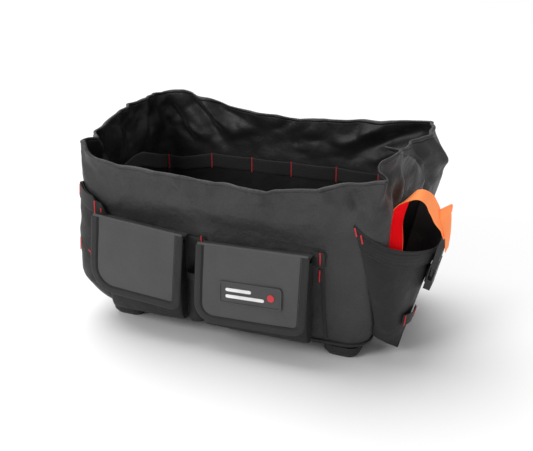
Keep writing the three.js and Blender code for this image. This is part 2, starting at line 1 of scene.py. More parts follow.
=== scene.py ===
"""Garden tool bag: soft fabric pieces, webbing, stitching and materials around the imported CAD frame."""

import math

import bmesh
import bpy
import numpy as np
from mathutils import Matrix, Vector, noise


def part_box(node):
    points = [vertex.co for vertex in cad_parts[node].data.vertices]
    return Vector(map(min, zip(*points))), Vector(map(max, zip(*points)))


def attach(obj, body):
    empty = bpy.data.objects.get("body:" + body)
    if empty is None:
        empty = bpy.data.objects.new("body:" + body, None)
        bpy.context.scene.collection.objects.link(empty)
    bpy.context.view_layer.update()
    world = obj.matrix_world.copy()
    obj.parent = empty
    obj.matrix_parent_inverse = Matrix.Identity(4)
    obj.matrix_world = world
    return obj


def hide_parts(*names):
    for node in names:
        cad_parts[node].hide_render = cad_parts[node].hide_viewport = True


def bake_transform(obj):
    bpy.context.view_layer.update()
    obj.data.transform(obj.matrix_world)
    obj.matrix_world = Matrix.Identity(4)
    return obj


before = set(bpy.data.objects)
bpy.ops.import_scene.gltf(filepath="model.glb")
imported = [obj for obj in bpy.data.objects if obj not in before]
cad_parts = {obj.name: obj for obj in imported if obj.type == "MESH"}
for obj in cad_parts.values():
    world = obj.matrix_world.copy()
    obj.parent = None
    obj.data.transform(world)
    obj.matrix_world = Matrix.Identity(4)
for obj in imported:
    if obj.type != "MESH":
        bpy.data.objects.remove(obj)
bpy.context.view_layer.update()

# ---- frame
# Shapes below are worked out in millimetres from the middle of the bag's base, then placed.
MM = 0.001
base_low, base_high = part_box("base_panel")
ORIGIN = np.array([(base_low[i] + base_high[i]) / 2 for i in range(3)]) / MM
ORIGIN[2] = 0.0
UP = (0, 0, 1.0)


def to_row(points):
    """Millimetres from the middle of the base, turned into metres in the row frame."""
    return (np.asarray(points, float) + ORIGIN) * MM


def box_mm(node):
    """A CAD node's box in mm from the middle of the base."""
    low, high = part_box(node)
    return np.array(low) / MM - ORIGIN, np.array(high) / MM - ORIGIN


# ---- driving sizes (mm)
CLOTH = 2.6
WEBBING = 25.0
TAPE_THICKNESS = 1.4
CORNER_RADIUS = 30.0
# half the body's width and depth at each of these heights
HEIGHTS = [20, 70, 150, 300]
HALF_WIDTH = [214, 232, 238, 240]
HALF_DEPTH = [128, 136, 140, 141]
# half the length of each side at the rim
RIM_HALF = {"front": 240.0, "right": 141.0, "back": 240.0, "left": 141.0}
# share of a side that is straight; the rest goes round its two corners
STRAIGHT = 0.88
CORNER_STEPS = 7
WALL_BOTTOM = 22.4
RIM_ROLL = 2.7
# where the front wall's face lies behind the pockets, and how far they may stand out
FRONT_FACE = -141.2
POCKET_LIMIT = -163.2
# angles round the section of a piped edge
PIPE_ANGLES = np.linspace(0, 2 * np.pi, 9)[:-1]
PIPE_RADIUS = 2.2

# rim height against distance along each side, seen from outside, left to right
RIM = {
    "front": [(-240, 291), (-208, 271), (-164, 265.5), (-84, 262), (-35, 257.5), (31, 257),
              (68, 253.5), (80, 259), (140, 269), (180, 281), (240, 296)],
    "right": [(-141, 295), (-131, 297), (-118, 308), (-98, 314), (-74, 314), (-48, 305),
              (-20, 296), (0, 292), (80, 290), (141, 293)],
    "back": [(-240, 294), (-157, 284), (-19, 272), (15, 273), (110, 280), (149, 291),
             (196, 299), (240, 296)],
    "left": [(-141, 295), (-34, 299), (18, 301), (57, 289), (106, 284), (141, 290)],
}
SIDES = {
    "front": ((1, 0), (0, -1)),
    "right": ((0, 1), (1, 0)),
    "back": ((-1, 0), (0, 1)),
    "left": ((0, -1), (-1, 0)),
}
SIDE_ORDER = ("front", "right", "back", "left")
SLUMP = {"y": 100, "z": 245, "spread_y": 80, "spread_up": 48, "spread_down": 112, "reach": 29.5,
         "start": 165, "end": 240}
# the folded tongue near the front of the right side: its rear edge as (z, y)
TONGUE_EDGE = [(200, 30), (222, 25), (268, 4), (287, -21), (300, -48), (312, -76)]


def blend_to(x, low, high):
    """0 below low, 1 above high, smooth between."""
    t = np.clip((np.asarray(x, float) - low) / (high - low), 0, 1)
    return t * t * (3 - 2 * t)


def bell(x, centre, spread):
    return np.exp(-(((np.asarray(x, float) - centre) / spread) ** 2))


def lookup(table, x):
    xs, ys = zip(*table)
    return np.interp(x, xs, ys)


def wobble(points, size, seed):
    """Smooth noise from -1 to 1 at each point, with features about size mm across."""
    shift = Vector((seed * 17.3, seed * 5.1, seed * 9.7))
    flat = np.asarray(points, float).reshape(-1, 3) / size
    values = [noise.noise(Vector(p) + shift) for p in flat]
    return np.array(values).reshape(np.asarray(points).shape[:-1])


def crumple(points, size, seed):
    """Noise with creased ridges, like stiff coated cloth that has been folded before."""
    return 1.0 - 2.6 * np.abs(wobble(points, size, seed))


def unit(vectors):
    """Vectors scaled to a length of 1."""
    return vectors / np.linalg.norm(vectors, axis=-1, keepdims=True)


def distances(points):
    """Distance of each point of a line from its start."""
    steps = np.linalg.norm(np.diff(points, axis=0), axis=1)
    return np.concatenate([[0], np.cumsum(steps)])


def columns_at(x, places, table):
    """Each column of a table read at x, where its rows stand at the given places."""
    return np.stack([np.interp(x, places, column) for column in np.transpose(table)], axis=-1)


def directions(points):
    """Unit direction of a line at each of its points."""
    return unit(np.gradient(points, axis=0))


# ---- mesh helpers
def mesh_object(name, verts, faces, uvs=None, smooth=True):
    """A mesh object from row-frame points, with one UV per face corner if given."""
    mesh = bpy.data.meshes.new(name)
    mesh.from_pydata([tuple(v) for v in verts], [], faces)
    mesh.update()
    if uvs is not None:
        layer = mesh.uv_layers.new(name="cloth")
        layer.data.foreach_set("uv", np.asarray(uvs, np.float32).ravel())
    obj = bpy.data.objects.new(name, mesh)
    bpy.context.scene.collection.objects.link(obj)
    for polygon in mesh.polygons:
        polygon.use_smooth = smooth
    return obj


def arc_lengths(points, axis):
    """Distance along the rows or columns of a grid, from its edge."""
    steps = np.linalg.norm(np.diff(points, axis=axis), axis=-1)
    total = np.cumsum(steps, axis=axis)
    pad = [(0, 0), (0, 0)]
    pad[axis] = (1, 0)
    return np.pad(total, pad)


def grid_object(name, points, wrap_columns=False, wrap_rows=False):
    """A quad surface over points[row, column], in mm, with UVs in metres along the cloth."""
    points = np.asarray(points, float)
    closed = points
    if wrap_columns:
        closed = np.concatenate([closed, closed[:, :1]], axis=1)
    if wrap_rows:
        closed = np.concatenate([closed, closed[:1]], axis=0)
    along = arc_lengths(closed, 1) * MM
    up = arc_lengths(closed, 0) * MM
    rows, columns = points.shape[:2]
    verts = to_row(points.reshape(-1, 3))
    faces = []
    uvs = []
    for j in range(closed.shape[0] - 1):
        for i in range(closed.shape[1] - 1):
            corners = ((j, i), (j, i + 1), (j + 1, i + 1), (j + 1, i))
            faces.append([(r % rows) * columns + (c % columns) for r, c in corners])
            uvs.extend((along[r, c], up[r, c]) for r, c in corners)
    return mesh_object(name, verts, faces, uvs)


def add_modifier(obj, kind, **settings):
    modifier = obj.modifiers.new(kind.lower(), kind)
    for key, value in settings.items():
        setattr(modifier, key, value)
    return modifier


def apply_modifiers(obj):
    """Bakes the modifiers into the piece's own mesh."""
    graph = bpy.context.evaluated_depsgraph_get()
    graph.update()
    mesh = bpy.data.meshes.new_from_object(obj.evaluated_get(graph))
    obj.modifiers.clear()
    obj.data = mesh
    for polygon in mesh.polygons:
        polygon.use_smooth = True
    return obj


def thicken(obj, thickness, levels=1, **settings):
    """Gives a sheet its thickness, with softly rounded edges if levels is above 0."""
    add_modifier(obj, "SOLIDIFY", thickness=thickness * MM, offset=0.0, use_even_offset=True,
                 **settings)
    if levels:
        add_modifier(obj, "SUBSURF", levels=levels, render_levels=levels)
    return apply_modifiers(obj)


def outward_faces(obj):
    """Turns all faces of a closed piece outwards."""
    mesh = bmesh.new()
    mesh.from_mesh(obj.data)
    bmesh.ops.recalc_face_normals(mesh, faces=mesh.faces)
    mesh.to_mesh(obj.data)
    mesh.free()
    return obj


def sheet(name, points, thickness, levels=1):
    """A cloth surface over a grid of points in mm, with its thickness."""
    return thicken(grid_object(name, points), thickness, levels)


def tube(name, points, wrap_columns=False):
    """A closed section carried along a line, or round a ring."""
    return outward_faces(grid_object(name, points, wrap_columns, wrap_rows=True))


def join(name, objects):
    """Several pieces made one, keeping their UVs."""
    bpy.ops.object.select_all(action="DESELECT")
    for obj in objects:
        obj.select_set(True)
    bpy.context.view_layer.objects.active = objects[0]
    bpy.ops.object.join()
    objects[0].name = name
    objects[0].data.name = name
    return objects[0]


def coat(obj, *materials):
    """Gives a piece its materials in order."""
    obj.data.materials.clear()
    for material in materials:
        obj.data.materials.append(material)


def dress(obj, body, slot, material, *nodes):
    """Gives a piece its material and its body and hides the CAD nodes that it stands for; slot is not
    used.
    """
    coat(obj, material)
    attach(obj, body)
    if nodes:
        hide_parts(*nodes)
    return obj


def finish_cad(material, bevel, segments, *names):
    """Gives CAD nodes their material and rounds their edges by a bevel in mm."""
    for name in names:
        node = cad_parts[name]
        coat(node, material)
        add_modifier(node, "BEVEL", width=bevel * MM, segments=segments, limit_method="ANGLE")


# ---- materials
# distance after which a wave texture of scale 1 repeats
WAVE_LENGTH = 0.31416


class Nodes:
    """A short way to build a node material."""

    def __init__(self, name):
        self.material = bpy.data.materials.new(name)
        self.material.use_nodes = True
        self.tree = self.material.node_tree
        self.shader = self.tree.nodes["Principled BSDF"]

    def node(self, kind, inputs=None, **settings):
        made = self.tree.nodes.new(kind)
        for key, value in settings.items():
            setattr(made, key, value)
        for key, value in (inputs or {}).items():
            self.put(made.inputs[key], value)
        return made

    def put(self, socket, value):
        """Links a node's output to a socket, or sets the socket to a plain value."""
        if hasattr(value, "is_linked"):
            self.tree.links.new(value, socket)
        else:
            socket.default_value = value

    def surface(self, inputs):
        """Sets or links inputs of the material's own shader by name."""
        for key, value in inputs.items():
            self.put(self.shader.inputs[key], value)

    def math(self, operation, a, b):
        made = self.node("ShaderNodeMath", operation=operation)
        self.put(made.inputs[0], a)
        self.put(made.inputs[1], b)
        return made.outputs[0]

    def mix(self, a, b, share):
        """a and b added, with a counting for the share and b for the rest."""
        rest = self.math("MULTIPLY", b, 1 - share)
        return self.math("ADD", self.math("MULTIPLY", a, share), rest)

    def vary(self, fac, spread, middle):
        """A value that varies about its middle."""
        return self.math("ADD", self.math("MULTIPLY", fac, spread), middle - spread / 2)

    def noise(self, vector, scale, detail=3.0, roughness=0.55):
        inputs = {"Vector": vector, "Scale": scale, "Detail": detail, "Roughness": roughness}
        return self.node("ShaderNodeTexNoise", inputs).outputs["Fac"]

    def wave(self, vector, direction, period, distortion=0.0):
        inputs = {"Vector": vector, "Scale": WAVE_LENGTH / period, "Distortion": distortion}
        made = self.node("ShaderNodeTexWave", inputs, wave_type="BANDS", bands_direction=direction)
        return made.outputs["Fac"]

    def ramp(self, fac, stops):
        made = self.node("ShaderNodeValToRGB", {"Fac": fac})
        ramp = made.color_ramp
        while len(ramp.elements) < len(stops):
            ramp.elements.new(0.5)
        for element, (place, colour) in zip(ramp.elements, stops):
            element.position = place
            element.color = (*colour, 1.0)
        return made.outputs["Color"]

    def shades(self, fac, colour, contrast, low, high):
        """Base colour from a darker shade where fac is low to a lighter one where it is high."""
        dark, light = shade(colour, 1 - contrast), shade(colour, 1 + contrast)
        self.surface({"Base Color": self.ramp(fac, [(low, dark), (high, light)])})

    def bump(self, height, strength, distance, **more):
        inputs = {"Strength": strength, "Distance": distance, "Height": height, **more}
        return self.node("ShaderNodeBump", inputs).outputs["Normal"]


def shade(colour, factor):
    return tuple(min(1.0, c * factor) for c in colour)


def fabric(name, colour, period=1.3, roughness=0.62, weave=0.35, sheen=0.02, creases=0.25,
           contrast=0.22, specular=0.42):
    """Plain-woven coated cloth: crossing threads, fine creases and slight colour drift."""
    n = Nodes(name)
    place = n.node("ShaderNodeTexCoord")
    cloth = place.outputs["UV"]
    space = place.outputs["Object"]
    threads = n.math("MAXIMUM", n.wave(cloth, "X", period * MM), n.wave(cloth, "Y", period * MM))
    drift = n.noise(space, scale=14.0, detail=4.0)
    speck = n.noise(cloth, scale=420.0, roughness=0.7)
    n.shades(n.mix(drift, speck, 0.5), colour, contrast, 0.3, 0.7)
    soft = n.bump(n.noise(space, scale=48.0, detail=5.0, roughness=0.62), creases, 0.0035)
    n.surface({
        "Roughness": n.vary(n.noise(space, scale=40.0), 0.16, roughness),
        "Sheen Weight": sheen,
        "Sheen Roughness": 0.45,
        "Specular IOR Level": specular,
        "Normal": n.bump(threads, weave, 0.0003, Normal=soft),
    })
    return n.material


def webbing_cloth(name, colour, period=1.6, roughness=0.7, contrast=0.3, sheen=0.1, rib=0.6,
                  specular=0.35, painted_glow=0.0):
    """Narrow woven tape: ribs across its width, wavy cross threads and a slow colour drift."""
    n = Nodes(name)
    place = n.node("ShaderNodeTexCoord")
    cloth = place.outputs["UV"]
    ribs = n.wave(cloth, "X", period * MM)
    cross = n.wave(cloth, "Y", period * 1.7 * MM, distortion=0.6)
    threads = n.mix(ribs, cross, 0.65)
    drift = n.noise(place.outputs["Object"], scale=30.0)
    n.shades(n.mix(threads, drift, 0.45), colour, contrast, 0.25, 0.75)
    n.surface({
        "Roughness": n.vary(n.noise(cloth, scale=300.0, detail=2.0), 0.12, roughness),
        "Sheen Weight": sheen,
        "Specular IOR Level": specular,
        # emission in the tape's own colour, set by the glow argument, is a painted glow
        "Emission Color": (*colour, 1.0),
        "Emission Strength": painted_glow,
        "Normal": n.bump(threads, rib, 0.0005),
    })
    return n.material


def moulded(name, colour, roughness=0.45, grain=0.15, scale=900.0):
    """Moulded plastic or rubber: fine spark grain, faint colour drift and scuffed patches."""
    n = Nodes(name)
    space = n.node("ShaderNodeTexCoord").outputs["Object"]
    n.shades(n.noise(space, scale=25.0), colour, 0.12, 0.3, 0.7)
    scuff = n.noise(space, scale=60.0, detail=5.0, roughness=0.7)
    n.surface({
        "Roughness": n.vary(scuff, 0.2, roughness),
        "Specular IOR Level": 0.5,
        "Normal": n.bump(n.noise(space, scale, detail=2.0), grain, 0.0002),
    })
    return n.material


def hook_tape(name, colour):
    """Hook-and-loop tape: a dense field of tiny hooks."""
    n = Nodes(name)
    space = n.node("ShaderNodeTexCoord").outputs["Object"]
    height = n.node("ShaderNodeTexVoronoi", {"Scale": 900.0, "Vector": space}).outputs["Distance"]
    n.surface({
        "Base Color": n.ramp(height, [(0.0, shade(colour, 1.6)), (0.6, colour)]),
        "Roughness": 0.9,
        "Normal": n.bump(height, 0.9, 0.0006),
    })
    return n.material


BODY_FABRIC = fabric("body_fabric", (0.037, 0.037, 0.038), roughness=0.46, creases=0.85,
                     contrast=0.3, specular=0.3)
LINING = fabric("lining_fabric", (0.018, 0.018, 0.019), roughness=0.44, weave=0.3, creases=0.35)
POCKET_FABRIC = fabric("pocket_fabric", (0.015, 0.015, 0.016), period=1.8, roughness=0.55,
                       weave=0.6, creases=0.7, contrast=0.3, specular=0.3)
# near-black fabric with almost no specular: painted shade for the wall inside the side pouch
POUCH_PAINTED_SHADE = fabric("pouch_painted_shade", (0.006, 0.006, 0.006), roughness=0.8, specular=0.06,
                      sheen=0.0)
FLAP_FABRIC = fabric("flap_fabric", (0.056, 0.056, 0.058), roughness=0.52, weave=0.25,
                     creases=0.35, contrast=0.16)
TAPE = webbing_cloth("webbing", (0.021, 0.021, 0.022))
BINDING = webbing_cloth("binding_tape", (0.020, 0.020, 0.021), period=1.2, rib=0.45)
RIBBED = webbing_cloth("ribbed_hem", (0.016, 0.016, 0.017), period=3.0, rib=1.0, contrast=0.5)
# both faces of the strap carry a painted glow: emission that makes them brighter than the lamps alone
# would
STRAP_CLOTH = webbing_cloth("strap_webbing", (1.0, 0.28, 0.085), period=1.5, contrast=0.12,
                            roughness=0.6, sheen=0.0, specular=0.2, painted_glow=0.32)
STRAP_INNER = webbing_cloth("strap_inner", (0.88, 0.004, 0.008), period=1.5, contrast=0.12,
                            roughness=0.7, sheen=0.0, specular=0.05, painted_glow=0.12)
THREAD = webbing_cloth("red_thread", (0.72, 0.035, 0.045), period=0.9, contrast=0.2)
# dark stitching thread; also used for the strip of painted shadow along each flap's binding
DARK_THREAD_AND_SHADOW = webbing_cloth("dark_thread_and_shadow", (0.008, 0.008, 0.008), period=0.8, contrast=0.3)
RUBBER = moulded("rubber", (0.010, 0.010, 0.011), roughness=0.55, grain=0.4, scale=500.0)
PLASTIC = moulded("buckle_plastic", (0.020, 0.020, 0.021), roughness=0.4, grain=0.2)
BADGE = moulded("badge_rubber", (0.048, 0.048, 0.050), roughness=0.55, grain=0.2)
PRINT_LIGHT = moulded("badge_print_light", (0.85, 0.85, 0.84), roughness=0.5, grain=0.1)
PRINT_RED = moulded("badge_print_red", (0.62, 0.03, 0.04), roughness=0.5, grain=0.1)
HOOKS = hook_tape("hook_and_loop", (0.014, 0.014, 0.015))


# ---- plan of the body
def half(z, values):
    return np.interp(z, HEIGHTS, values)


def slump(x, y, z):
    """How far the rear right corner leans out to the right."""
    share = np.clip((x - SLUMP["start"]) / (SLUMP["end"] - SLUMP["start"]), 0, 1)
    spread = np.where(np.asarray(z) > SLUMP["z"], SLUMP["spread_up"], SLUMP["spread_down"])
    drop = bell(y, SLUMP["y"], SLUMP["spread_y"]) * bell(z, SLUMP["z"], spread)
    return SLUMP["reach"] * share**2 * drop


def plan_point(side, s, z, inset):
    """A point on the body's plan; s runs from -1 to 1 along the side, corners included."""
    along, out = SIDES[side]
    s = np.asarray(s, float)
    wide = side in ("front", "back")
    span = half(z, HALF_WIDTH if wide else HALF_DEPTH)
    reach = half(z, HALF_DEPTH if wide else HALF_WIDTH)
    arc = np.clip((np.abs(s) - STRAIGHT) / (1 - STRAIGHT), 0, 1) * math.radians(45)
    inner = CORNER_RADIUS - inset
    on_arc = np.abs(s) > STRAIGHT
    flat_distance = (s / STRAIGHT) * (span - CORNER_RADIUS)
    arc_distance = np.sign(s) * (span - CORNER_RADIUS + inner * np.sin(arc))
    distance = np.where(on_arc, arc_distance, flat_distance)
    stand = np.where(on_arc, reach - CORNER_RADIUS + inner * np.cos(arc), reach - inset)
    x = along[0] * distance + out[0] * stand
    y = along[1] * distance + out[1] * stand
    x = x + slump(x, y, z)
    return np.stack(np.broadcast_arrays(x, y, z), axis=-1)


def side_points(side, wide_count, deep_count):
    """Even steps along one side with finer steps round its corners."""
    count = wide_count if side in ("front", "back") else deep_count
    flat = np.linspace(-STRAIGHT, STRAIGHT, count)
    left = np.linspace(-1, -STRAIGHT, CORNER_STEPS, endpoint=False)
    right = np.linspace(STRAIGHT, 1, CORNER_STEPS, endpoint=False)[1:]
    return np.concatenate([left, flat, right])


# ---- body shell
def crease(a, z, start, end, width, depth):
    """A soft valley (depth below 0) or ridge along a line on one wall, in (along, z)."""
    p = np.stack([a - start[0], z - start[1]], axis=-1)
    d = np.array([end[0] - start[0], end[1] - start[1]], float)
    t = np.clip((p @ d) / (d @ d), 0, 1)
    gap = np.linalg.norm(p - t[..., None] * d, axis=-1)
    taper = 0.35 + 0.65 * np.sin(np.pi * np.clip(t, 0.02, 0.98))
    return depth * taper * np.exp(-((gap / width) ** 2))


# folds: side, start (along, z), end, width, depth out of the wall
FOLDS = [
    ("front", (-236, 262), (-196, 214), 12, -7),
    ("front", (-222, 284), (-150, 252), 10, 5),
    ("front", (-150, 262), (-60, 246), 16, 4.5),
    ("front", (-128, 240), (-20, 226), 14, -3),
    ("front", (20, 252), (120, 236), 12, 4.5),
    ("front", (40, 226), (150, 212), 16, -4),
    ("front", (60, 256), (86, 228), 7, -4.5),
    ("front", (150, 176), (198, 264), 11, -5),
    ("front", (120, 268), (205, 226), 13, 5),
    ("front", (-60, 215), (60, 205), 18, 3),
    ("front", (178, 282), (222, 232), 10, -5),
    ("front", (-215, 200), (-140, 208), 16, 3),
    ("front", (-100, 262), (-84, 238), 6, -2.5),
    ("front", (-30, 256), (-22, 236), 6, 2.5),
    ("back", (190, 300), (122, 214), 10, 12),
    ("back", (168, 296), (104, 232), 8, -11),
    ("back", (226, 276), (176, 210), 9, 10),
    ("back", (206, 246), (160, 218), 7, -8),
    ("back", (-238, 286), (-120, 222), 11, 12),
    ("back", (-226, 262), (-150, 214), 9, -9),
    ("back", (-180, 286), (-96, 236), 8, -7),
    ("back", (-10, 270), (-14, 206), 5, 3.5),
    ("back", (60, 262), (100, 226), 14, -5),
    ("back", (140, 286), (96, 262), 9, 7),
    ("left", (118, 292), (70, 240), 11, -12),
    ("left", (84, 286), (52, 226), 9, 11),
    ("left", (20, 298), (22, 226), 12, -10),
    ("left", (-40, 298), (-30, 222), 11, 11),
    ("left", (-92, 296), (-60, 210), 12, -12),
    ("left", (-130, 292), (-100, 214), 9, 9),
    ("left", (-118, 298), (-134, 236), 7, -7),
    ("right", (60, 244), (137, 247), 9, 3.5),
    ("right", (44, 286), (74, 214), 9, -9),
    ("right", (92, 290), (112, 226), 9, 7),
    ("right", (20, 270), (52, 214), 8, -8),
    ("right", (-84, 296), (-70, 214), 9, 5),
    ("right", (-52, 280), (-40, 206), 7, -5),
    ("right", (-104, 286), (-92, 206), 8, -5),
]


def fold_depth(side, a, z):
    total = np.zeros(np.broadcast(a, z).shape)
    for name, start, end, width, depth in FOLDS:
        if name == side:
            total = total + crease(a, z, start, end, width, depth)
    return total


def tongue(a, z):
    """The folded tongue: it swells gently towards its rear edge, then drops away sharply."""
    edge = lookup(TONGUE_EDGE, z)
    behind = blend_to(a - edge, -2.5, 2.5)
    swell = 9 * bell(a, edge, 46)
    hollow = -15 * bell(a, edge, 30)
    return (swell + (hollow - swell) * behind) * blend_to(z, 196, 244)


# dips in the right side's rim: middle, spread, depth, height where each starts and is full
RIGHT_DIPS = [(34, 44, 15, 256, 296), (-126, 17, 17, 232, 284), (-84, 40, 10, 262, 306)]
# how far the front right corner is pinched out near the rim
CORNER_PINCH = 13
# depth of the right wall's hollow behind the side pouch
POUCH_HOLLOW = 13


def corner_pinch(s, start, z):
    """A sharp corner that grows from a share of the side to its end."""
    return CORNER_PINCH * np.clip((s - start) / (1 - start), 0, 1) * blend_to(z, 248, 284)


def wall_shift(side, s, z):
    """How far the cloth stands out of the plain wall: folds, sag and hollows."""
    a = s * RIM_HALF[side]
    shift = fold_depth(side, a, z) * (0.25 + 0.75 * blend_to(z, 185, 262))
    if side == "right":
        for middle, spread, depth, start, full in RIGHT_DIPS:
            shift = shift - depth * bell(a, middle, spread) * blend_to(z, start, full)
        covered = blend_to(a, -120, -92) * blend_to(-a, -14, 30)
        hollow = covered * blend_to(z, 95, 140) * blend_to(-z, -250, -205)
        shift = shift + tongue(a, z) - POUCH_HOLLOW * hollow + corner_pinch(-s, 0.95, z)
    if side == "left":
        shift = shift + 3.0 * bell(a, 0, 90) * bell(z, 235, 40)
    if side == "front":
        shift = shift + 5.0 * bell(a, -40, 170) * bell(z, 222, 26)
        shift = shift - 4.0 * bell(a, 30, 180) * bell(z, 186, 18)
        shift = shift + corner_pinch(s, 0.93, z)
    return shift


def body_ring(z_share, inset, extra=0.0):
    """One closed ring of the shell, at a share of the wall's height."""
    ring = []
    for side in SIDE_ORDER:
        s = side_points(side, 90, 84)
        top = lookup(RIM[side], s * RIM_HALF[side])
        z = WALL_BOTTOM + (top - WALL_BOTTOM) * z_share + extra
        points = plan_point(side, s, z, inset)
        outward = unit((plan_point(side, s, z, inset - 1.0) - points) * (1, 1, 0))
        ring.append(points + outward * wall_shift(side, s, z)[:, None])
    return np.concatenate(ring)


def shell_rings():
    """The outside from the bottom up, round the rolled rim and down the inside."""
    shares = np.linspace(0, 1, 78)[:-1] ** 0.82
    rings = [body_ring(share, 0.0) for share in shares]
    for angle in np.radians(np.linspace(-70, 250, 13)):
        inset = CLOTH / 2 - RIM_ROLL * math.cos(angle)
        rings.append(body_ring(1.0, inset, RIM_ROLL * math.sin(angle) - RIM_ROLL * 0.6))
    return np.array(rings + [body_ring(share, CLOTH) for share in shares[::-1]])


def crumpled(points):
    """The shell with its cloth crumpled, most of all in the collar."""
    outward = unit(points * (1, 1, 0))
    ripple = wobble(points, 60, 1) * 3.0
    ripple = ripple + crumple(points, 46, 2) * 3.2 + crumple(points, 22, 3) * 1.1
    share = 0.14 + 0.86 * blend_to(points[..., 2], 150, 265)
    points = points + outward * (ripple * share)[..., None]
    points[..., 2] += wobble(points, 30, 4) * 2.0 * blend_to(points[..., 2], 235, 262)
    return points


def make_body_shell():
    """All four walls as one sewn shell: cloth outside, lining inside, and a near-black painted shade on
    the wall inside the side pouch.
    """
    points = crumpled(shell_rings())
    shell = tube("body_shell", points, wrap_columns=True)
    dress(shell, "bag", "body_fabric", BODY_FABRIC,
          "front_wall", "right_wall", "back_wall", "left_wall")
    # slot 1 is the lining inside the bag; slot 2 is the near-black painted shade on the wall inside the
    # side pouch
    for lining in (LINING, POUCH_PAINTED_SHADE):
        shell.data.materials.append(lining)
    for polygon in shell.data.polygons:
        if looks_inside(polygon):
            polygon.material_index = 1
        elif painted_shade_behind_pouch(polygon.center):
            polygon.material_index = 2


def painted_shade_behind_pouch(centre):
    """True for a place on the right wall that the side pouch covers; these faces get a near-black painted
    shade.
    """
    x, y, z = np.array(centre) / MM - ORIGIN
    rear = lookup([(point[2], point[1]) for point in POUCH_REAR], z) + 6
    return x > 205 and -104 < y < rear and 45 < z < 214


def looks_inside(polygon):
    """True for a face of the shell that looks into the bag."""
    away = (Vector(polygon.center) - Vector(to_row([0, 0, 0]))) * Vector((1, 1, 0))
    return polygon.normal.dot(away.normalized()) < -0.25


# ---- tapes, tacks and stitches
TACK_WIDTH = 2.2
TACK_PITCH = 0.9
STITCH_PITCH = 4.2
STITCH_LENGTH = 2.9
STITCH_RADIUS = 0.33


def tape_points(centres, across, width, rows):
    """Rows of points across a flat tape, from its centre line and unit width directions."""
    centres = np.asarray(centres, float)
    across = np.asarray(across, float)
    shares = np.linspace(-0.5, 0.5, rows + 1)
    return np.array([centres + across * (share * width) for share in shares])


def ribbon(name, centres, across, width, thickness=TAPE_THICKNESS, rows=4):
    """A flat tape with thickness and soft edges."""
    return thicken(grid_object(name, tape_points(centres, across, width, rows)), thickness)


def bar_tack(start, end, out):
    """A dense zigzag of thread: a low ribbed pad from start to end, standing out of the cloth."""
    start, end, out = (np.asarray(v, float) for v in (start, end, out))
    along, out = unit(end - start), unit(out)
    across = np.cross(out, along)
    length = np.linalg.norm(end - start)
    stations = max(4, int(length / TACK_PITCH)) * 2 + 1
    rows = []
    for k, share in enumerate(np.linspace(0, 1, stations)):
        crest, spread = (0.75, 0.5) if k % 2 else (0.45, 0.44)
        side = TACK_WIDTH * spread
        base = start + along * share * length
        section = [(-side, -0.3), (-side * 0.8, crest * 0.8), (0, crest + 0.25),
                   (side * 0.8, crest * 0.8), (side, -0.3)]
        rows.append([base + across * u + out * h for u, h in section])
    return grid_object("tack", np.array(rows))


def stitch_line(points, out):
    """Small stitches lying along a line of points, as one list of verts and faces."""
    out = np.broadcast_to(np.asarray(out, float), np.shape(points))
    total = distances(points)
    verts, faces = [], []
    for place in np.arange(STITCH_PITCH / 2, total[-1] - STITCH_LENGTH, STITCH_PITCH):
        ends = (place, place + STITCH_LENGTH)
        a, b = (columns_at(d, total, points) for d in ends)
        out_a, out_b = (unit(columns_at(d, total, out)) for d in ends)
        across = np.cross(out_a, unit(b - a))
        middle = (a + b) / 2 + out_a * STITCH_RADIUS * 1.5
        first = len(verts)
        for centre, normal, size in ((a, out_a, 0.5), (middle, out_a, 1.0), (b, out_b, 0.5)):
            for u, h in ((-1, 0), (0, 1), (1, 0), (0, -1)):
                verts.append(centre + (across * u + normal * h) * STITCH_RADIUS * size)
        for ring in (first, first + 4):
            for k in range(4):
                m = (k + 1) % 4
                faces.append([ring + k, ring + m, ring + 4 + m, ring + 4 + k])
        faces.append([first + k for k in (3, 2, 1, 0)])
        faces.append([first + k for k in (8, 9, 10, 11)])
    return verts, faces


def stitches(name, lines):
    """One piece from several stitch lines, each (points, outward direction)."""
    verts, faces = [], []
    for points, out in lines:
        more_verts, more_faces = stitch_line(points, out)
        first = len(verts)
        verts.extend(more_verts)
        faces.extend([[i + first for i in face] for face in more_faces])
    return mesh_object(name, to_row(np.array(verts)), faces)


# ---- inside pockets
# the band of slip pockets runs along the left, back and right walls, seen from above
BAND_SIDE, BAND_BACK, BAND_CORNER, BAND_END = 222.5, 127.5, 14.0, -62.0
# height of the top of the band against distance along it from the front of the left wall
BAND_TOP = [(0, 216), (60, 224), (84, 222), (150, 196), (190, 183), (215, 184), (275, 197),
            (350, 197.5), (500, 200), (560, 198), (610, 194), (640, 190), (700, 204), (820, 210)]
BAND_SEAMS = [4, 184, 269, 344, 416, 496, 568, 628, 730, 814]
BAND_FOOT = 60
BAND_BULGE = 3.4


def band_path(count):
    """Plan of the slip-pocket band: distances, points and directions into the bag."""
    turns = np.linspace(0, math.pi / 2, 8)
    x, y, corner = BAND_SIDE - BAND_CORNER, BAND_BACK - BAND_CORNER, BAND_CORNER
    path = [(-BAND_SIDE, BAND_END)]
    path += [(-x - corner * math.cos(t), y + corner * math.sin(t)) for t in turns]
    path += [(x + corner * math.sin(t), y + corner * math.cos(t)) for t in turns]
    path += [(BAND_SIDE, BAND_END)]
    total = distances(path)
    places = np.linspace(0, total[-1], count)
    points = columns_at(places, total, path)
    along = directions(points)
    return places, points, np.stack([along[:, 1], -along[:, 0]], axis=-1)


def band_swell(places):
    """0 at each seam, up to 1 half way between two seams."""
    swell = np.zeros_like(places)
    for a, b in zip(BAND_SEAMS, BAND_SEAMS[1:]):
        share = np.clip((places - a) / (b - a), 0, 1)
        swell = np.maximum(swell, np.sin(np.pi * share) ** 0.8)
    return swell


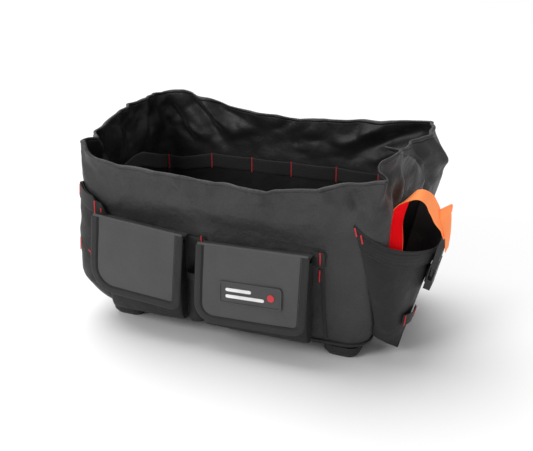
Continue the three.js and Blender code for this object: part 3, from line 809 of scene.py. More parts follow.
def make_slip_pockets():
    """The pocket panel round three walls, swelling between its seams."""
    places, plan, inward = band_path(420)
    top = lookup(BAND_TOP, places)
    rows = []
    for share in np.linspace(0, 1, 24):
        z = BAND_FOOT + (top - BAND_FOOT) * share
        swell = BAND_BULGE * band_swell(places) * (0.3 + 0.7 * share)
        lift = swell + wobble(np.column_stack([plan, z]), 26, 7) * 0.9
        rows.append(np.column_stack([plan + inward * lift[:, None], z]))
    panel = sheet("slip_pockets", rows, 1.2)
    dress(panel, "bag", "lining_fabric", LINING,
          "inner_pocket_back", "inner_pocket_left", "inner_pocket_right")


def make_slip_webbing():
    """The webbing along the panel's top; returns a bar tack for each seam."""
    places, plan, inward = band_path(420)
    top = lookup(BAND_TOP, places)
    lift = BAND_BULGE * band_swell(places) * 0.95 + 1.6
    centres = np.column_stack([plan + inward * lift[:, None], top - WEBBING / 2 + 1])
    run = np.gradient(plan, axis=0) / (places[1] - places[0])
    along = unit(np.column_stack([run, np.gradient(top, places)]))
    across = np.cross(np.column_stack([inward, np.zeros(len(plan))]), along)
    across *= np.sign(across[:, 2])[:, None]
    tape = ribbon("slip_pocket_webbing", centres, across, WEBBING, 1.5)
    dress(tape, "bag", "webbing", TAPE,
          "inner_webbing_back", "inner_webbing_left", "inner_webbing_right")
    half_tack = np.array([0, 0, WEBBING / 2 + 1])
    tacks = []
    for seam in BAND_SEAMS:
        k = int(np.argmin(np.abs(places - seam)))
        out = np.array([*inward[k], 0])
        foot = centres[k] + out * 0.9
        tacks.append(bar_tack(foot - half_tack, foot + half_tack, out))
    return tacks


# ---- front pockets
# how far a pocket's front stands out of the wall, against height
POCKET_STAND = [(28, 11.5), (34, 15.5), (44, 19), (56, 20.8), (90, 21), (158, 20.2)]
PLEAT = 4.5


def pocket_plan(x0, x1, stand):
    """Plan of a bellows pocket from wall to wall: two pleated cheeks and a front."""
    front = FRONT_FACE - stand
    left = [(x0, FRONT_FACE), (x0 + 0.5, FRONT_FACE - stand * 0.25),
            (x0 + PLEAT, FRONT_FACE - stand * 0.5), (x0 + 0.8, FRONT_FACE - stand * 0.78),
            (x0 + 1.8, front + 1.2), (x0 + 5, front)]
    right = [(x0 + x1 - x, y) for x, y in reversed(left)]
    middle = [(x, front) for x in np.linspace(x0 + 9, x1 - 9, 34)]
    return np.array(left + middle + right)


def pocket_ring(x0, x1, z, share, seed):
    """One level of a front pocket, with its belly and ripples."""
    stand = lookup(POCKET_STAND, z)
    plan = pocket_plan(x0, x1, stand)
    ring = np.column_stack([plan, np.full(len(plan), z)])
    belly = np.sin(np.pi * np.clip((plan[:, 0] - x0) / (x1 - x0), 0, 1)) ** 0.6
    ripple = wobble(ring, 34, seed) * 1.6 + wobble(ring, 15, seed + 1) * 0.5
    move = 0.6 - belly + ripple * (0.5 + 0.5 * (1 - share))
    ring[:, 1] += np.where(plan[:, 1] < FRONT_FACE - stand * 0.6, move, 0)
    ring[:, 1] = np.maximum(ring[:, 1], POCKET_LIMIT)
    return ring


def make_front_pocket(name, seed):
    low, high = box_mm(f"front_pocket_{name}")
    rows = []
    for z in np.linspace(low[2] + 0.5, high[2], 34):
        share = (z - low[2]) / (high[2] - low[2])
        rows.append(pocket_ring(low[0], high[0], z, share, seed))
    bottom = rows[0].copy()
    bottom[:, 1] = FRONT_FACE + (bottom[:, 1] - FRONT_FACE) * 0.25
    bottom[:, 2] -= 1.6
    panel = sheet(f"front_pocket_{name}_bag", [bottom] + rows, 1.6)
    dress(panel, "bag", "body_fabric", POCKET_FABRIC, f"front_pocket_{name}")

    centres = rows[-1][4:-4].copy()
    centres[:, 1] -= 1.5
    centres[:, 2] = high[2] - WEBBING / 2
    hem = ribbon(f"front_hem_{name}_tape", centres, UP, WEBBING, 1.3)
    dress(hem, "bag", "webbing", TAPE, f"front_hem_{name}")


# ends of the pocket hems sewn flat to the front wall: name, left, right, height
HEM_TAILS = [("hem_tail_right", 137, 157, 163), ("hem_tail_middle", -60, -27, 156)]
# bar tacks on the front wall: x, y, low z, high z
FRONT_TACKS = [(150, -145.6, 156, 175), (149, -142.9, 128, 147), (-33, -146.3, 160, 172)]


def make_hem_tails():
    for name, x0, x1, z in HEM_TAILS:
        x = np.linspace(x0, x1, 8)
        y = -143.0 - 2.0 * np.sin(np.linspace(0, np.pi, 8))
        tail = ribbon(name, np.stack([x, y, np.full_like(x, z)], -1), UP, WEBBING)
        dress(tail, "bag", "webbing", TAPE)


def make_seam_tape():
    """The narrow tape up the front wall beside the right pocket."""
    z = np.linspace(30, 176, 24)
    x = np.interp(z, [30, 176], [157, 151])
    centres = np.stack([x, -half(z, HALF_DEPTH) - 1.2, z], -1)
    seam = ribbon("front_seam_tape", centres, (1.0, 0, 0), 6, 1.2)
    dress(seam, "bag", "webbing", TAPE)


def make_front_tacks():
    return [bar_tack((x, y, low), (x, y, high), (0, -1, 0)) for x, y, low, high in FRONT_TACKS]


def make_pen_sleeve():
    low, high = box_mm("pen_sleeve")
    angle = np.linspace(0, np.pi, 18)
    x = (low[0] + high[0]) / 2 - np.cos(angle) * (high[0] - low[0]) / 2
    rows = []
    for z in np.linspace(low[2], high[2], 22):
        stand = 12.5 + 1.2 * math.sin(z / 13.0)
        y = FRONT_FACE - 0.2 - np.sin(angle) ** 0.7 * stand
        rows.append(np.stack([x, y, np.full_like(x, z)], -1))
    sleeve = sheet("pen_sleeve_bag", rows, 1.6)
    dress(sleeve, "bag", "body_fabric", POCKET_FABRIC, "pen_sleeve")
    rim = ribbon("pen_sleeve_rim", rows[-1] - (0, 1, 5), UP, 11, 1.2)
    dress(rim, "bag", "webbing", BINDING)


# ---- flaps
FLAPS = {
    "left": {"x": -128.5, "z": 180.5, "width": 152.0, "height": 118.0, "roll": 4.4,
             "shear": 0.04, "round_left": 40.0, "round_right": 15.0},
    "right": {"x": 55.0, "z": 171.0, "width": 174.0, "height": 121.0, "roll": -2.0,
              "shear": -0.05, "round_left": 32.0, "round_right": 19.0},
}
CREASE_Y = -164.5
FLAP_TILT = 6.5
BINDING_WIDTH = 12.0
SKIN_INSET = 1.2
# how far above the bottom edge the skin's rows begin to close up
SKIN_TURN = 42
# section of the edge binding: share of its width from the edge inwards, height off the panel
BINDING_SECTION = [(1.0, 1.5), (0.66, 1.75), (0.33, 1.75), (0.1, 1.55), (0.0, 0.9), (-0.02, 0.0),
                   (0.0, -0.9), (0.1, -1.5), (0.5, -1.7), (1.0, -1.5)]
# the hook patch under a flap: half its width, distance below the crease and height
HOOKS_HALF, HOOKS_DROP, HOOKS_HEIGHT = 35, 45.0, 24.0
# section of the root strip: distance behind the crease, distance below it
ROOT_SECTION = [(20.8, 4.4), (19.5, 4.2), (15, 4.4), (10, 4.0), (5.5, 2.6), (2.4, 0.9),
                (0.6, -0.6)]


class Flap:
    """A flap in its own frame: x along the crease, y up the panel, z out of its face."""

    def __init__(self, name, seed):
        self.name = name
        self.body = f"flap_{name}"
        self.seed = seed
        self.size = FLAPS[name]
        roll = math.radians(self.size["roll"])
        tilt = math.radians(FLAP_TILT)
        turn = np.array([[math.cos(roll), 0, math.sin(roll)], [0, 1, 0],
                         [-math.sin(roll), 0, math.cos(roll)]])
        self.x = turn @ np.array([1.0, 0, 0])
        self.y = turn @ np.array([0, math.sin(tilt), math.cos(tilt)])
        self.z = turn @ np.array([0, -math.cos(tilt), math.sin(tilt)])
        self.origin = np.array([self.size["x"], CREASE_Y, self.size["z"]])

    def place(self, x, y, z):
        x, y, z = np.broadcast_arrays(x, y, z)
        return (self.origin + x[..., None] * self.x + y[..., None] * self.y
                + z[..., None] * self.z)

    def corner(self, sign, inset):
        """Radius of the bottom left (-1) or bottom right (1) corner."""
        return max(self.size["round_left" if sign < 0 else "round_right"] - inset, 2.0)

    def side(self, drop, inset, sign):
        """Where the left or right edge lies at a distance below the crease."""
        radius = self.corner(sign, inset)
        below = np.clip(drop - (self.size["height"] - inset - radius), 0, radius)
        half_width = self.size["width"] / 2 - inset
        edge = sign * (half_width - radius + np.sqrt(np.maximum(radius**2 - below**2, 0)))
        return edge + self.size["shear"] * drop

    def lift(self, x, drop):
        """Height of the middle surface: a slight pillow, a soft wave and a curled edge."""
        across = x / (self.size["width"] / 2)
        down = drop / self.size["height"]
        pillow = 1.4 * (1 - across**2) * np.sin(np.pi * np.clip(down, 0, 1))
        wave = 0.9 * np.sin(across * 2.4 + self.seed) * down
        ground = np.stack([x + self.seed * 40, drop, x * 0], -1)
        ripple = wobble(ground, 45, 9) * 0.9 + wobble(ground, 18, 10) * 0.25
        curl = 1.6 * np.clip(down, 0, 1) ** 4
        return 2.4 + pillow + wave + ripple - curl

    def on_face(self, x, drop, height):
        """Points at a distance below the crease and a height off the middle surface."""
        return self.place(x, -drop, self.lift(x, drop) + height)

    def outline(self, inset):
        """Points round the edge from top left, down, along and up to top right."""
        height = self.size["height"] - inset
        sides = []
        for sign in (-1, 1):
            radius = self.corner(sign, inset)
            straight = np.linspace(0, height - radius, 26)
            turn = height - radius + radius * np.sin(np.linspace(0, math.pi / 2, 14)[1:])
            drops = np.concatenate([straight, turn])
            sides.append(np.stack([self.side(drops, inset, sign), drops], axis=-1))
        left, right = sides
        share = np.linspace(0, 1, 32)[1:-1, None]
        bottom = left[-1] + (right[-1] - left[-1]) * share
        return np.concatenate([left, bottom, right[::-1]])


def make_flap_skin(flap):
    """The flap's cloth, which rolls over the crease and tucks under."""
    turn = flap.size["height"] - SKIN_INSET - SKIN_TURN
    closing = turn + SKIN_TURN * np.sin(np.linspace(0, np.pi / 2, 18))[1:]
    shares = np.linspace(0, 1, 47)
    x = (flap.size["width"] / 2 - SKIN_INSET) * (2 * shares - 1)
    base = flap.lift(x, np.zeros_like(x)) - 2.2
    rows = []
    for angle in np.radians((170, 135, 100, 60, 25)):
        rows.append(flap.place(x, 2.2 * math.sin(angle), base + 2.2 * math.cos(angle)))
    for drop in np.concatenate([np.linspace(0.0, turn, 26), closing]):
        left, right = (flap.side(drop, SKIN_INSET, sign) for sign in (-1, 1))
        x = left + (right - left) * shares
        rows.append(flap.on_face(x, np.full_like(x, drop), 0.0))
    skin = sheet(f"{flap.body}_skin", rows, 1.9)
    dress(skin, flap.body, "flap_fabric", FLAP_FABRIC, f"{flap.body}_panel")


def make_flap_binding(flap):
    """The tape folded round the flap's edge."""
    outer, inner = flap.outline(0.2), flap.outline(BINDING_WIDTH)
    rows = []
    for share, height in BINDING_SECTION:
        ring = outer + (inner - outer) * share
        rows.append(flap.on_face(ring[:, 0], ring[:, 1], height))
    binding = tube(f"{flap.body}_tape", rows)
    dress(binding, flap.body, "webbing", BINDING, f"{flap.body}_binding")


def make_flap_stitches(flap):
    """Stitches along the binding, and a thin near-black strip where it meets the panel: a painted shadow
    in the seam.
    """
    seam = flap.outline(BINDING_WIDTH - 1.8)
    line = flap.on_face(seam[:, 0], seam[:, 1], 1.95)
    dress(stitches(f"{flap.body}_stitches", [(line, flap.z)]), flap.body, "webbing", DARK_THREAD_AND_SHADOW)
    # a flat near-black strip just inside the binding's edge: painted shadow where the binding meets the
    # panel
    edges = [flap.outline(BINDING_WIDTH + step) for step in (0.9, -0.2)]
    rows = [flap.on_face(edge[:, 0], edge[:, 1], 1.15) for edge in edges]
    seam_shadow_strip = sheet(f"{flap.body}_seam_line", rows, 0.5, 0)
    dress(seam_shadow_strip, flap.body, "webbing", DARK_THREAD_AND_SHADOW)


def make_patches(flap):
    """Hook tape under the flap and loop tape on the pocket behind it."""
    x, drop = np.meshgrid(np.linspace(-HOOKS_HALF, HOOKS_HALF, 24),
                          np.linspace(HOOKS_DROP, HOOKS_DROP + HOOKS_HEIGHT, 9))
    patch = sheet(f"{flap.body}_hooks", flap.on_face(x, drop, -1.8), 1.0)
    dress(patch, flap.body, "hook_and_loop", HOOKS, f"hook_patch_{flap.name}")
    low, high = box_mm(f"loop_patch_{flap.name}")
    x, z = np.meshgrid(np.linspace(low[0], high[0], 24), np.linspace(low[2], high[2], 9))
    y = np.full_like(x, (low[1] + high[1]) / 2)
    face = sheet(f"pocket_{flap.name}_loops", np.stack([x, y, z], -1), 1.0)
    dress(face, "bag", "hook_and_loop", HOOKS, f"loop_patch_{flap.name}")


def make_flap_root(flap):
    """The short strip from the wall seam out to the crease."""
    wide = flap.size["width"] / 2 - 1.5
    x = np.linspace(-wide, wide, 40)[:, None]
    sag = 0.8 * np.sin(np.linspace(0, np.pi, 40))[:, None]
    up = np.cross(flap.x, (0, 1, 0))
    rows = [flap.origin + x * flap.x + np.array([0, back, 0]) - (drop + sag) * up
            for back, drop in ROOT_SECTION]
    strip = sheet(f"{flap.body}_root", rows, 1.8)
    dress(strip, f"{flap.body}_root", "flap_fabric", FLAP_FABRIC, f"{flap.body}_top")


def make_flap(name, seed):
    flap = Flap(name, seed)
    make_flap_skin(flap)
    make_flap_binding(flap)
    make_flap_stitches(flap)
    make_patches(flap)
    make_flap_root(flap)
    return flap


# ---- badge
# middle of the badge along the crease and below it, and height of its face off the flap's plane
BADGE_X, BADGE_DROP, BADGE_FACE = -1.0, 67.0, 6.1
# a mark's section: height off the badge's face, share of its outline
MARK_SECTION = [(0.05, 1.0), (0.7, 1.0), (0.95, 0.94)]


def bar_outline(width, height):
    """A bar with half-round ends."""
    radius = height / 2
    points = []
    for sign, start in ((1, -90), (-1, 90)):
        for angle in np.radians(np.linspace(start, start + 180, 9)):
            points.append((sign * (width / 2 - radius) + radius * math.cos(angle),
                           radius * math.sin(angle)))
    return points


def dot_outline(size):
    angles = np.linspace(0, 2 * np.pi, 29)[:-1]
    return [(size / 2 * math.cos(angle), size / 2 * math.sin(angle)) for angle in angles]


def badge_mark(flap, name, centre, outline, material):
    """A plain raised shape on the badge's face."""
    ring = [flap.place(BADGE_X + centre[0] + x * share, -BADGE_DROP + centre[1] + y * share,
                       BADGE_FACE + height)
            for height, share in MARK_SECTION for x, y in outline]
    count = len(outline)
    faces = []
    for start in (0, count):
        for i in range(count):
            j = (i + 1) % count
            faces.append([start + i, start + j, start + count + j, start + count + i])
    faces.append([2 * count + i for i in range(count)])
    mark = mesh_object(name, to_row(np.array(ring)), faces, smooth=False)
    dress(mark, "flap_right", "badge_print", material)


def make_badge(flap):
    """A raised rubber badge with a frame, two plain bars and a round dot."""
    finish_cad(BADGE, 0.5, 2, "badge")
    badge_mark(flap, "badge_bar_long", (-8.0, -5.0), bar_outline(60.0, 5.0), PRINT_LIGHT)
    badge_mark(flap, "badge_bar_short", (-18.0, 5.0), bar_outline(40.0, 5.0), PRINT_LIGHT)
    badge_mark(flap, "badge_dot", (32.0, 0.5), dot_outline(11.0), PRINT_RED)


# ---- left end
# the end pocket's rear edge, and half of the left wall's straight run
END_BACK, END_RUN = 70.0, 110.0
END_FRONT_SHARE = -0.79
END_BOTTOM = 27.0
# along the wrap-round end pocket, 0 at its rear edge, 1 at the corner, 2 under the left flap
END_RISE = [(0, 211), (0.75, 214), (0.93, 222), (1.0, 224), (1.1, 216), (1.3, 205), (1.65, 200),
            (2.0, 178)]
END_SWELL = [(27, 1), (36, 5), (48, 8.5), (70, 12), (100, 12), (140, 8), (180, 5), (225, 2.5)]
# tacks on it: place along it, low and high z, how far the top leans along it
END_TACKS = [(0.06, 187, 209), (0.42, 188, 210), (0.985, 204, 221), (1.27, 183, 204),
             (1.62, 186, 193), (1.02, 116, 137), (1.28, 104, 117, -0.13), (1.26, 110, 123, -0.13)]
END_TACK_HEIGHT = 4.9


def end_pocket_point(q, v, offset):
    """A point of the wrap-round end pocket; q runs along it and v from bottom to top."""
    q, v = np.broadcast_arrays(np.asarray(q, float), np.asarray(v, float))
    z = END_BOTTOM + (lookup(END_RISE, q) - END_BOTTOM) * v
    corner = np.exp(-(((q - 1.0) / np.where(q < 1, 0.17, 0.55)) ** 2))
    ends = np.clip(q / 0.05, 0, 1) ** 0.5 * np.clip((2.0 - q) / 0.3, 0, 1) ** 0.5
    swell = lookup(END_SWELL, z) * (0.75 + 0.95 * corner) * ends
    inset = -0.8 - swell - offset
    rear = -END_BACK / END_RUN * STRAIGHT
    left_share = lookup([(0, rear), (0.8, STRAIGHT), (1, 1)], q)
    front_share = lookup([(1, -1), (1.2, -STRAIGHT), (2, END_FRONT_SHARE)], q)
    on_left = plan_point("left", left_share, z, inset)
    on_front = plan_point("front", front_share, z, inset)
    return np.where((q <= 1)[..., None], on_left, on_front)


def end_tack(q, low_z, high_z, slant=0.0):
    """A tack on the end pocket between two heights."""
    low = (low_z - END_BOTTOM) / (lookup(END_RISE, q) - END_BOTTOM)
    high = (high_z - END_BOTTOM) / (lookup(END_RISE, q + slant) - END_BOTTOM)
    foot = end_pocket_point(q, low, END_TACK_HEIGHT)
    head = end_pocket_point(q + slant, high, END_TACK_HEIGHT)
    return bar_tack(foot, head, end_pocket_point(q, low, END_TACK_HEIGHT + 1) - foot)


def make_end_pocket():
    """The wrap-round pocket and its webbing; returns its bar tacks."""
    q, v = np.meshgrid(np.linspace(0, 2, 150), np.linspace(0, 1, 48))
    points = end_pocket_point(q, v, 1.4)
    ripple = crumple(points, 40, 12) * 1.5 + wobble(points, 16, 13) * 0.5
    points = end_pocket_point(q, v, 1.4 + np.clip(ripple, -1.5, 2))
    panel = sheet("end_pocket_bag", points, 1.8)
    dress(panel, "bag", "body_fabric", POCKET_FABRIC, "end_pocket")
    q = np.linspace(0, 2, 150)
    top = end_pocket_point(q, 1.0, 4.2)
    bottom = end_pocket_point(q, 1 - WEBBING / (lookup(END_RISE, q) - END_BOTTOM), 4.2)
    hem = ribbon("end_pocket_tape", (top + bottom) / 2, unit(top - bottom), WEBBING, 1.3)
    dress(hem, "bag", "webbing", TAPE, "end_pocket_hem")
    return [end_tack(*tack) for tack in END_TACKS]


def make_tool_loop():
    """The loop of webbing low on the left end; returns its bar tacks."""
    low, high = box_mm("tool_loop")
    u = np.linspace(0, 1, 24)
    face = high[0]
    arch = (high[0] - low[0] - TAPE_THICKNESS) * np.sin(np.pi * u)
    y = high[1] + (low[1] - high[1]) * u
    x = face - TAPE_THICKNESS / 2 - arch
    centres = np.stack([x, y, np.full_like(u, (low[2] + high[2]) / 2)], -1)
    loop = ribbon("tool_loop_tape", centres, UP, high[2] - low[2])
    dress(loop, "bag", "webbing", TAPE, "tool_loop")
    return [bar_tack((face - 2.6, y, low[2]), (face - 2.6, y, high[2]), (-1, 0, 0))
            for y in (low[1] + 3, high[1] - 3)]


# ---- side pouch
# edges sewn to the bag and the line furthest from it, from the bottom to the rim
POUCH_FRONT = [(221, -110, 38), (225, -130, 73), (217, -142, 123), (203, -145.4, 172),
               (182, -147.2, 236)]
POUCH_REAR = [(217.5, -52, 20), (233, -24, 70), (236.5, 5, 121), (241.5, 23, 162), (250, 36, 204)]
POUCH_OUTER = [(257, -84, 9), (289, -46, 160)]
# how square the front half and the rear half of the rim are; 1 is a plain half ellipse
POUCH_FULLNESS = [(0, 1.0), (0.3, 0.7), (1, 0.48)]
POUCH_REAR_FULLNESS = 1.0
POUCH_HEIGHT = 165
POUCH_ROUND = np.linspace(0.012, 0.997, 84)
HEM_SHARE = 1 - 22 / POUCH_HEIGHT
# tacks at the front edge of the rim: place round it, low and high share of the height
POUCH_TACKS = [(0.016, 0.945, 1.0), (0.034, 0.925, 0.985)]
# the loop low on the pouch: shares of the height
LOOP_LOW, LOOP_HIGH = 49 / POUCH_HEIGHT, 69 / POUCH_HEIGHT


def along_line(points, v):
    return columns_at(v, np.linspace(0, 1, len(points)), points)


def pouch_point(u, v, offset):
    """u from the front edge round to the rear edge, v from the bottom to the rim."""
    u, v = np.broadcast_arrays(np.asarray(u, float), np.asarray(v, float))
    front, rear, outer = (along_line(line, v) for line in (POUCH_FRONT, POUCH_REAR, POUCH_OUTER))
    angle = np.pi * u
    fullness = lookup(POUCH_FULLNESS, v)
    fullness = fullness + (POUCH_REAR_FULLNESS - fullness) * blend_to(u, 0.45, 0.6) * v
    rise = np.clip(np.sin(angle), 0, 1) ** fullness
    pinch = np.clip(1 - v / 0.22, 0, 1) ** 1.3
    rise = rise + ((1 - np.abs(2 * u - 1)) - rise) * pinch
    centre = (front + rear) / 2
    half_chord = (rear - front) / 2
    bulge = outer - centre
    point = centre - np.cos(angle)[..., None] * half_chord + rise[..., None] * bulge
    long = np.maximum(np.linalg.norm(half_chord, axis=-1), 1)[..., None]
    deep = np.maximum(np.linalg.norm(bulge, axis=-1), 1)[..., None]
    outward = (-np.cos(angle)[..., None] * half_chord / long
               + np.sin(angle)[..., None] * bulge / deep)
    return point + unit(outward * (1, 1, 0)) * np.asarray(offset, float)[..., None]


def pouch_out(u, v):
    """Direction out of the pouch's face."""
    return pouch_point(u, v, 1.0) - pouch_point(u, v, 0.0)


def make_pouch_cone():
    u, v = np.meshgrid(POUCH_ROUND, np.linspace(0, 1, 60))
    base = pouch_point(u, v, 0.0)
    dent = wobble(base, 42, 15) * 1.6 + wobble(base, 18, 16) * 0.5
    dent = dent * np.sin(np.pi * u) ** 0.5 * (0.35 + 0.65 * np.sin(np.pi * np.clip(v, 0.05, 0.95)))
    cone = sheet("pouch_cone", pouch_point(u, v, dent - 1.9), 2.0)
    dress(cone, "bag", "body_fabric", POCKET_FABRIC, "side_pouch")


def make_pouch_hem():
    """The ribbed band round the rim."""
    u, v = np.meshgrid(POUCH_ROUND, np.linspace(HEM_SHARE, 1.0, 9))
    dent = wobble(pouch_point(u, v, 0.0), 42, 15) * 1.6 * np.sin(np.pi * u) ** 0.5 * 0.5
    hem = sheet("pouch_hem_band", pouch_point(u, v, 0.8 + dent), 1.4)
    dress(hem, "bag", "webbing", RIBBED, "side_pouch_hem")


def make_pouch_rim():
    """The rounded binding along the rim."""
    rim = []
    for angle in PIPE_ANGLES:
        ring = pouch_point(POUCH_ROUND, 1.0, -0.2 + 2.0 * math.cos(angle))
        rim.append(ring + (0, 0, PIPE_RADIUS * math.sin(angle) - 0.6))
    lip = tube("pouch_rim_binding", rim)
    dress(lip, "bag", "webbing", BINDING)


def make_pouch_stitches():
    lines = [(pouch_point(POUCH_ROUND, v, 1.75), pouch_out(POUCH_ROUND, v))
             for v in (HEM_SHARE + 0.01, 0.975)]
    dress(stitches("pouch_stitches", lines), "bag", "webbing", DARK_THREAD_AND_SHADOW)


def make_pouch_floor():
    """The closed bottom, between the seam on the bag and the cone."""
    rim = pouch_point(np.linspace(0.06, 0.94, 30), 0.08, -3.4)
    chord = rim[0] + (rim[-1] - rim[0]) * np.linspace(0, 1, 30)[:, None]
    rows = [chord + (rim - chord) * share for share in np.linspace(0.02, 1, 8)]
    floor = sheet("pouch_floor", rows, 1.6)
    dress(floor, "bag", "body_fabric", POCKET_FABRIC, "side_pouch_bottom")


def pouch_tack(u, low, high, offset):
    """A bar tack up the pouch's face between two shares of its height."""
    return bar_tack(pouch_point(u, low, offset), pouch_point(u, high, offset), pouch_out(u, low))


def make_pouch_loop():
    """The loop of webbing low on the pouch."""
    u = np.linspace(0.34, 0.56, 22)
    stand = 1.6 + 3.6 * np.sin(np.pi * np.linspace(0, 1, 22))
    top, bottom = (pouch_point(u, v, stand) for v in (LOOP_HIGH, LOOP_LOW))
    width = float(np.linalg.norm(top - bottom, axis=1).mean())
    loop = ribbon("pouch_loop_tape", (top + bottom) / 2, unit(top - bottom), width)
    dress(loop, "bag", "webbing", TAPE, "pouch_loop")


def make_pouch():
    """The cone-shaped pouch on the right end; returns its bar tacks."""
    make_pouch_cone()
    make_pouch_hem()
    make_pouch_rim()
    make_pouch_stitches()
    make_pouch_floor()
    make_pouch_loop()
    tacks = [pouch_tack(*tack, 2.0) for tack in POUCH_TACKS]
    tacks += [pouch_tack(u, LOOP_LOW + 0.005, LOOP_HIGH - 0.005, 4.2) for u in (0.36, 0.54)]
    return tacks


# ---- strap and buckle
STRAP_ROUTE = [(246.5, -106, 160), (245.8, -102, 191), (243.5, -96, 210.5), (244.7, -87, 226.7),
               (254.3, -86, 247), (265.3, -94, 259), (275.6, -96, 262.5), (285.3, -88, 254),
               (291.4, -72, 235), (296, -57, 214), (300.5, -46, 198), (303.2, -40, 184)]
TAIL_ROUTE = [(308.6, -40, 160), (308.8, -40, 172), (308.2, -40, 186), (306, -42, 202),
              (303.5, -46, 218), (303.5, -50, 231)]
# the strap's roll: (share of its length, degrees turned away from facing STRAP_FACING)
STRAP_FACING = (0.18, -0.91, 0.38)
STRAP_ROLL = [(0.0, 22), (0.22, 32), (0.32, 46), (0.39, 68), (0.43, 90), (0.5, 118), (0.57, 132),
              (0.68, 137), (0.82, 128), (1.0, 101.5)]
# direction of the tail's width at shares of its length
TAIL_SHARES = [0.0, 0.35, 0.7, 1.0]
TAIL_ACROSS = [(0.0, -1.0, 0.0), (-0.15, -0.98, 0.0), (-0.5, -0.87, 0.0), (-0.64, -0.77, 0.0)]
STRAP_THICKNESS = 1.5


def smooth_route(points, count):
    """A Catmull-Rom curve through the points, evenly stepped."""
    p = np.array(points, float)
    p = np.vstack([2 * p[0] - p[1], p, 2 * p[-1] - p[-2]])
    fine = []
    for a, b, c, d in zip(p, p[1:], p[2:], p[3:]):
        for t in np.linspace(0, 1, 16, endpoint=False):
            fine.append(0.5 * (2 * b + (c - a) * t + (2 * a - 5 * b + 4 * c - d) * t**2
                               + (3 * b - a - 3 * c + d) * t**3))
    fine.append(p[-2])
    total = distances(fine)
    return columns_at(np.linspace(0, total[-1], count), total, fine)


def smooth_values(values, width):
    """Averages a row of values or vectors with their neighbours."""
    window = np.hanning(2 * width + 1)
    flat = values.reshape(len(values), -1)
    padded = np.pad(flat, ((width, width), (0, 0)), mode="edge")
    columns = [np.convolve(padded[:, k], window / window.sum(), "valid")
               for k in range(flat.shape[1])]
    return np.stack(columns, axis=-1).reshape(values.shape)


def arch_lines(count):
    """Centre line of the arched strap and the direction of its width at each step."""
    centres = smooth_route(STRAP_ROUTE, count)
    along = directions(centres)
    flat = unit(np.cross(along, STRAP_FACING))
    deep = np.cross(along, flat)
    turn = np.radians(lookup(STRAP_ROLL, np.linspace(0, 1, count)))
    turn = smooth_values(turn, 4)[:, None]
    return centres, flat * np.cos(turn) + deep * np.sin(turn)


def tail_lines(count):
    """Centre line of the strap's tail and the direction of its width at each step."""
    centres = smooth_route(TAIL_ROUTE, count)
    along = directions(centres)
    across = smooth_values(columns_at(np.linspace(0, 1, count), TAIL_SHARES, TAIL_ACROSS), 7)
    across -= along * np.sum(along * across, axis=1)[:, None]
    return centres, unit(across)


def two_faced(name, centres, across, width):
    """Strap webbing whose inner face is a deeper red than its outer face."""
    strap = grid_object(name, tape_points(centres, across, width, 6))
    coat(strap, STRAP_CLOTH, STRAP_INNER)
    return thicken(strap, STRAP_THICKNESS, material_offset=1)


def make_strap():
    """The arch from the pouch to the plug and its doubled tail."""
    strap = two_faced("strap_arch", *arch_lines(84), WEBBING)
    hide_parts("strap")
    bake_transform(strap)
    centres, across = tail_lines(40)
    tail = two_faced("strap_tail_end", centres, across, WEBBING - 1)
    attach(tail, "plug")
    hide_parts("strap_tail")
    normal = unit(np.cross(across[-1], centres[-1] - centres[-2]))
    fold = ribbon("strap_tail_hem", centres[-9:] - normal * 1.7, across[-9:], WEBBING - 1,
                  STRAP_THICKNESS, rows=6)
    dress(fold, "plug", "strap_webbing", STRAP_CLOTH)


def make_buckle():
    finish_cad(PLASTIC, 0.8, 3, "buckle_socket", "buckle_plug", "prong_front", "prong_rear")
    finish_cad(TAPE, 0.4, 2, "buckle_tab")


# ---- base
PIPING_HEIGHT = 24.5


def make_base():
    finish_cad(RUBBER, 1.5, 3, "base_panel", "foot_front_left", "foot_front_right",
               "foot_back_left", "foot_back_right")
    finish_cad(LINING, 1.0, 2, "base_board")


def make_base_piping():
    """The rounded piping where the walls meet the base."""
    rings = []
    for angle in PIPE_ANGLES:
        ring = []
        for side in SIDE_ORDER:
            s = side_points(side, 40, 24)
            inset = -1.4 - PIPE_RADIUS * math.cos(angle)
            points = plan_point(side, s, np.full_like(s, PIPING_HEIGHT), inset)
            ring.append(points + (0, 0, PIPE_RADIUS * math.sin(angle)))
        rings.append(np.concatenate(ring))
    piping = tube("base_piping", rings, wrap_columns=True)
    dress(piping, "bag", "rubber", BINDING)


# ---- camera, light and floor
CAMERA_PLACE = [498.7, -1264.0, 737.8]
CAMERA_AIM = [13.5, 0, 135]
SENSOR_WIDTH = 36.0
LENS = 62.48
FLOOR_SIZE = 12
FLOOR_GREY = 0.92
WORLD_STRENGTH = 0.42
SUN_DIRECTION = (0.42, -0.3, -0.86)
SUN_STRENGTH = 2.5
SUN_SPREAD = 60
# soft light from the front left, in metres and watts
LAMP_PLACE, LAMP_AIM, LAMP_SIZE, LAMP_POWER = (-1.0, -1.7, 1.3), (0, 0, 0.15), 1.0, 18


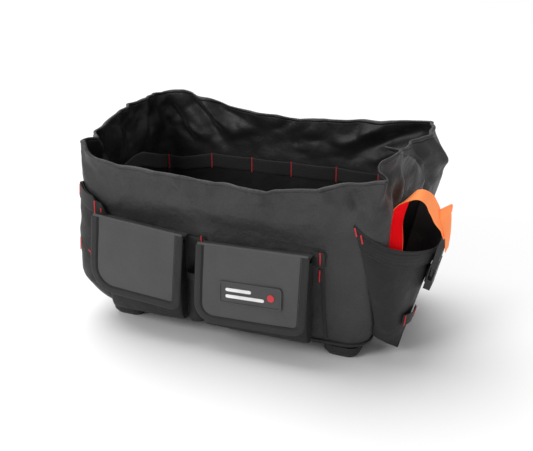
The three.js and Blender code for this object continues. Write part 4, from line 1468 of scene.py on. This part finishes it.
def placed(name, data, direction, place=(0, 0, 0)):
    """A camera or light at a place in the row frame, looking in a direction."""
    obj = bpy.data.objects.new(name, data)
    bpy.context.scene.collection.objects.link(obj)
    obj.location = place
    obj.rotation_euler = Vector(direction).to_track_quat("-Z", "Y").to_euler()
    return obj


def make_camera():
    data = bpy.data.cameras.new("camera")
    data.sensor_width = SENSOR_WIDTH
    data.lens = LENS
    place = to_row(CAMERA_PLACE)
    bpy.context.scene.camera = placed("camera", data, to_row(CAMERA_AIM) - place, place)


def make_floor():
    bpy.ops.mesh.primitive_plane_add(size=FLOOR_SIZE)
    floor = bpy.context.object
    floor.name = "floor"
    n = Nodes("pale_floor")
    n.surface({"Base Color": (FLOOR_GREY, FLOOR_GREY, FLOOR_GREY, 1), "Roughness": 0.6})
    floor.data.materials.append(n.material)


def make_lights():
    """White surroundings, a broad sun from the upper left and a soft lamp in front."""
    scene = bpy.context.scene
    world = bpy.data.worlds.new("studio")
    world.use_nodes = True
    background = world.node_tree.nodes["Background"]
    background.inputs["Color"].default_value = (1, 1, 1, 1)
    background.inputs["Strength"].default_value = WORLD_STRENGTH
    scene.world = world
    sun = bpy.data.lights.new("top", "SUN")
    sun.angle = math.radians(SUN_SPREAD)
    sun.energy = SUN_STRENGTH
    placed("top", sun, SUN_DIRECTION)
    lamp = bpy.data.lights.new("front", "AREA")
    lamp.shape = "DISK"
    lamp.size = LAMP_SIZE
    lamp.energy = LAMP_POWER
    placed("front", lamp, Vector(LAMP_AIM) - Vector(LAMP_PLACE), LAMP_PLACE)
    scene.view_settings.view_transform = "Standard"


# ---- assembly
make_camera()
make_floor()
make_lights()
make_body_shell()
make_base()
make_base_piping()
make_slip_pockets()
tacks = make_slip_webbing()
make_front_pocket("left", 20)
make_front_pocket("right", 24)
make_hem_tails()
make_seam_tape()
tacks += make_front_tacks()
make_pen_sleeve()
make_flap("left", 1)
make_badge(make_flap("right", 2))
tacks += make_end_pocket()
tacks += make_tool_loop()
tacks += make_pouch()
make_strap()
make_buckle()
dress(join("bar_tacks", tacks), "bag", "red_thread", THREAD)
